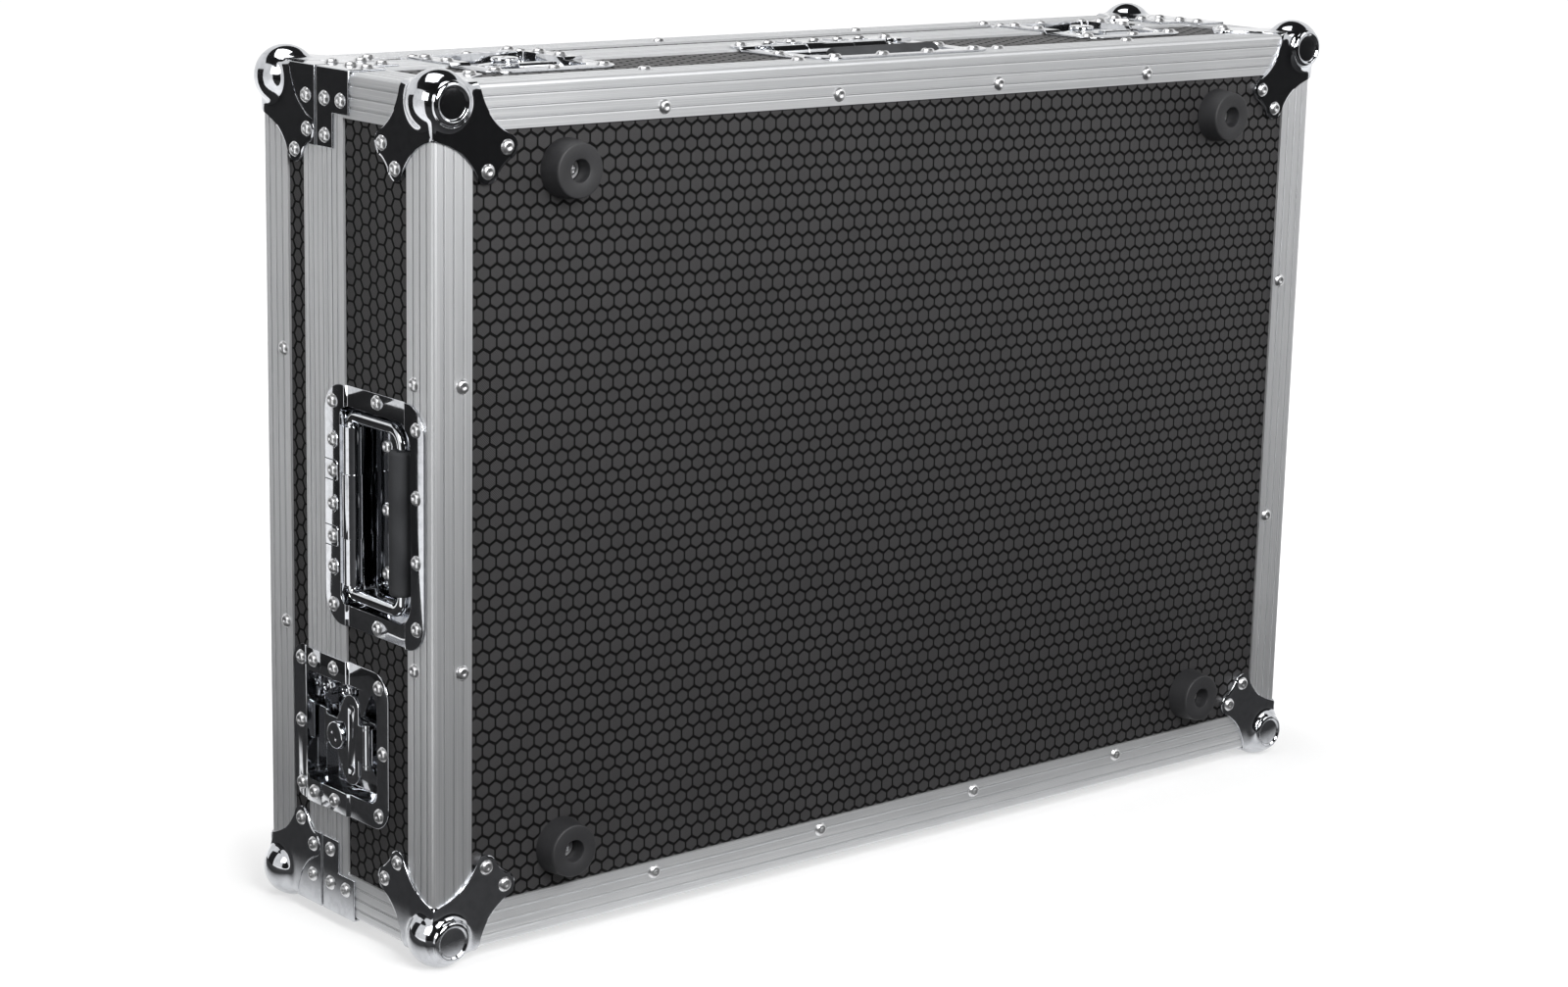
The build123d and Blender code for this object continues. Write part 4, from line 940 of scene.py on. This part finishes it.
def wing_button(name, place):
    """The button riveted to the wing, with two small dents."""
    work, cutter = bmesh.new(), bmesh.new()
    profile = [(0.0, WING_TOP), (9.2, WING_TOP), (9.5, -0.7), (9.5, 0.9), (9.3, 1.4)]
    profile += [(8.9, 1.75), (8.2, 1.95), (6.0, 2.0), (0.0, 2.0)]
    turned(work, place @ Matrix.Translation((0.0, -17.0, 0.0)), profile, 48)
    for x, y in ((1.8, -14.2), (-2.6, -18.6)):
        at = place @ Matrix.Translation((x, y, 2.9))
        bmesh.ops.create_uvsphere(cutter, u_segments=20, v_segments=14, radius=1.7, matrix=at)
    return carved(settled(work, name + "_button"), cutter, name)


def wing_hinge(name, place):
    """The wing's narrow tab and the knuckle that it curls into."""
    work = bmesh.new()
    tab = [(-12.7, WING_HINGE), (12.7, WING_HINGE), (12.7, -41.5), (-12.7, -41.5)]
    rounded_plate(work, place, [Vector(point) for point in tab], WING_BACK, WING_TOP, 0.4)
    barrel = Matrix.Translation((0.0, WING_HINGE, -1.7)) @ Matrix.Rotation(math.radians(90), 4, "Y")
    half = [(1.9, 12.7), (2.9, 12.7), (3.2, 12.4)]
    curl = [(radius, -along) for radius, along in half] + half[::-1]
    turned(work, place @ barrel, curl + curl[:1], 28)
    return settled(work, name + "_hinge")


def eyelet(place, x, y):
    """The rolled lip of a padlock eye and the pin end inside it."""
    work = bmesh.new()
    at = place @ Matrix.Translation((x, y, -10.0))
    lip = [(3.25, -0.3), (3.3, 0.4), (3.9, 0.85), (4.6, 0.8), (5.1, 0.4), (5.3, -0.1), (4.0, -0.3)]
    turned(work, at, lip + lip[:1], 28)
    pin = [(0.0, -2.1), (2.1, -2.1), (2.1, 0.1), (1.8, 0.5), (1.1, 0.8), (0.0, 0.85)]
    turned(work, at, pin, 20)
    return settled(work, "eyelet")


def latch(name):
    """One turn latch: both halves of its dish, the hook, the turning plate and the folding wing."""
    wall, along = LATCHES[name]
    place = wall_frame(wall, along)
    eyes = {"latch_dish": (28.5, -14.0), "latch_keeper": (27.0, 9.0)}
    parts = (
        ("latch_dish", "base", "pressed_base_dish", 0.5),
        ("latch_keeper", "lid", "pressed_keeper_dish", 0.5),
        ("latch_hook", name + "_hook", "draw_hook", 0.3),
        ("latch_turntable", name + "_turntable", "turning_plate", 0.3),
    )
    for part, body, label, width in parts:
        source = name + "_" + part
        label = name + "_latch_" + label
        mesh = eased(joined_copy(source), label, width * MM)
        if part in eyes:
            mesh = merged([mesh, eyelet(place, *eyes[part])], label)
        piece(label, mesh, body, CHROME, source)

    label = name + "_latch_folding_wing"
    wing = merged([shape(name, place) for shape in (wing_plate, wing_button, wing_hinge)], label)
    piece(label, wing, name + "_wing", CHROME, name + "_latch_wing")


# Rubber feet with their screws and washers


def foot_frames():
    """Millimetres on each foot's own axis to metres in the case."""
    for x_side in (-1, 1):
        for z_side in (-1, 1):
            place = (x_side * FOOT_ACROSS, BASE_FACE_Y + PANEL_SINK, MID_Z + z_side * FOOT_UP)
            outwards = Matrix.Rotation(math.radians(90), 4, "X")
            yield Matrix.Translation(place) @ outwards @ Matrix.Scale(MM, 4)


def crossed(screws):
    """The screws with a cross driven into each head."""
    cutter = bmesh.new()
    for place in foot_frames():
        for angle in (20, 110):
            turn = Matrix.Rotation(math.radians(angle), 4, "Z") @ Matrix.Translation((0.0, 0.0, 7.6))
            bar = place @ turn @ Matrix.Diagonal((4.8, 0.9, 3.0, 1.0))
            bmesh.ops.create_cube(cutter, size=1.0, matrix=bar)
    return carved(screws, cutter, "screws")


def feet():
    """Four rubber feet, each with a washer and a cross-headed screw at the bottom of its bore."""
    block = [(2.3, 0.0), (20.0, 0.0), (19.9, 1.2), (18.9, 9.0), (18.3, 14.2)]
    block += arc((17.0, 15.6), 1.2, 15, 90, 3)
    block += [(8.3, 16.8), (7.8, 16.6), (7.5, 16.0), (7.5, 4.0), (2.3, 4.0), (2.3, 0.0)]
    washer = [(2.4, 4.0), (6.6, 4.0), (6.8, 4.2), (6.8, 5.0), (6.6, 5.2), (2.4, 5.2), (2.4, 4.0)]
    turns = [math.radians(angle) for angle in (0, 20, 40, 60, 75)]
    screw = [(0.0, 0.2), (2.2, 0.2), (2.2, 5.2), (4.6, 5.2)]
    screw += [(4.6 * math.cos(turn), 5.4 + 2.4 * math.sin(turn)) for turn in turns] + [(0.0, 7.8)]
    parts = (
        ("foot_rubber_blocks", block, 64, "foot_rubber", FOOT, "rubber_feet"),
        ("foot_round_washers", washer, 40, "zinc_steel", ZINC, "foot_washers"),
        ("foot_cross_head_screws", screw, 24, "zinc_steel", ZINC, "foot_screws"),
    )
    for label, profile, sides, slot, material, source in parts:
        work = bmesh.new()
        for place in foot_frames():
            turned(work, place, profile, sides)
        mesh = settled(work, label, 35)
        if profile is screw:
            mesh = crossed(mesh)
        piece(label, mesh, "base", material, source)


# Foam and rim brackets


def foam_pieces():
    """The foam bed, lining and lid sheet, with softly cut edges."""
    for source, label, body in (
        ("base_floor_foam", "base_foam_bed", "base"),
        ("base_side_foam", "base_foam_lining", "base"),
        ("lid_foam_pad", "lid_foam_sheet", "lid"),
    ):
        made = piece(label, eased(joined_copy(source), label, 1.6 * MM, 3), body, FOAM, source)


def brackets():
    """The folded brackets inside the rims."""
    for body in ("base", "lid"):
        source = body + "_rim_brackets"
        label = body + "_folded_rim_brackets"
        piece(label, eased(joined_copy(source), label, 0.6 * MM), body, CHROME, source)


# Finishes for the CAD nodes that stay


def finish_of(name):
    """The material of a CAD node that stays as it is, or none."""
    if name.endswith("_panel"):
        for word, lie in (("bottom", "face"), ("top", "face"), ("left", "end"), ("right", "end")):
            if word in name:
                return LAMINATE[lie]
        return LAMINATE["side"]
    if name.endswith("_angles") or "_rim_channels" in name or "_rim_tongues" in name:
        return ALUMINIUM
    return None


def dress_nodes():
    """Gives the panels and the aluminium bars their finishes."""
    for name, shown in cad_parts.items():
        material = finish_of(name)
        if material:
            shown.data.materials.clear()
            shown.data.materials.append(material)


# Floor, world, lamps and the black cards that paint dark reflections into the metal


def flat_sheet(name, corners, material):
    """A flat stage piece through its corners."""
    work = bmesh.new()
    work.faces.new([work.verts.new(corner) for corner in corners])
    mesh = written(work, name)
    mesh.materials.append(material)
    made = linked(name, mesh)
    return made


def make_floor():
    """A wide round floor of white paper."""
    rim = arc((0.0, 0.0), 14.0, 0, 360, 64)[:-1]
    flat_sheet("floor", [(x, y, 0.0) for x, y in rim], studio_paper("white_studio_paper"))


def make_flags():
    """Black cards seen only in the bright metal's reflections, as painted dark reflections: three stand,
    three lie at their feet, one hangs.
    """
    standing = {
        "front_flag": ((-0.3, -1.3), (2.3, -1.3), 0.6),
        "camera_flag": ((-4.6, -0.6), (1.2, -4.2), 3.6),
        "end_flag": ((-1.4, 2.4), (-1.4, 0.7), 0.9),
    }
    level = {
        "front_floor_flag": (((-0.3, -1.3), (2.3, -1.3), (0.6, -0.1), (-0.55, -0.1)), 0.002),
        "camera_floor_flag": (((-4.6, -0.6), (1.2, -4.2), (-0.3, -0.1), (-0.42, -0.1)), 0.003),
        "end_floor_flag": (((-1.4, 2.4), (-1.4, 0.7), (-0.42, -0.3), (-0.42, 0.4)), 0.002),
        "ceiling_flag": (((-4.6, -4.2), (3.6, -4.2), (3.6, 3.4), (-4.6, 3.4)), 3.6),
    }
    cards = {}
    for name, (start, stop, top) in standing.items():
        cards[name] = [(*start, 0.002), (*stop, 0.002), (*stop, top), (*start, top)]
    for name, (corners, height) in level.items():
        cards[name] = [(*corner, height) for corner in corners]
    reflection_black = painted_reflection_black("painted_dark_reflection_black")
    for name, corners in cards.items():
        card = flat_sheet(name, corners, reflection_black)
        # Seen only by mirror rays: the cards paint dark reflections into the metal.
        card.visible_camera = False
        card.visible_diffuse = False
        card.visible_shadow = False
        card.visible_transmission = False


def make_world():
    """A white room that looks bright but lights the case softly."""
    world = bpy.data.worlds.new("studio")
    bpy.context.scene.world = world
    tree = blank(world)
    strength = node(tree, "Math", {0: looked_at(tree), 1: 0.72, 2: 0.28}, operation="MULTIPLY_ADD")
    light = node(tree, "Background", {"Color": "#ffffff", "Strength": strength})
    node(tree, "OutputWorld", {"Surface": light}, out=None)


def make_lamps():
    """Four square softboxes, aimed at the case's middle, with sizes in metres and powers in watts."""
    lamps = (
        ("key_softbox", (-0.6, -1.9, 1.4), 1.1, 66.0),
        ("side_softbox", (-3.0, -0.5, 1.5), 1.2, 16.0),
        ("high_softbox", (1.5, -2.4, 2.5), 1.4, 20.0),
        ("top_softbox", (-0.4, 0.6, 3.4), 2.0, 45.0),
    )
    for name, place, size, power in lamps:
        data = bpy.data.lights.new(name, "AREA")
        data.shape = "SQUARE"
        data.size = size
        data.energy = power
        lamp = linked(name, data)
        aim = Vector((0.0, 0.0, 0.3)) - Vector(place)
        turn = aim.to_track_quat("-Z", "Y").to_matrix().to_4x4()
        lamp.matrix_world = Matrix.Translation(place) @ turn


make_camera()
dress_nodes()
ball_corners("base", BASE_FACE_Y, -1, True)
ball_corners("lid", LID_FACE_Y, 1, False)
heads = rivet_tree()
rivets("base", heads)
rivets("lid", heads)
for wall_name in WALLS:
    handle(wall_name)
for latch_name in LATCHES:
    latch(latch_name)
feet()
foam_pieces()
brackets()
make_floor()
make_flags()
make_world()
make_lamps()
bpy.context.scene.view_settings.view_transform = "Standard"
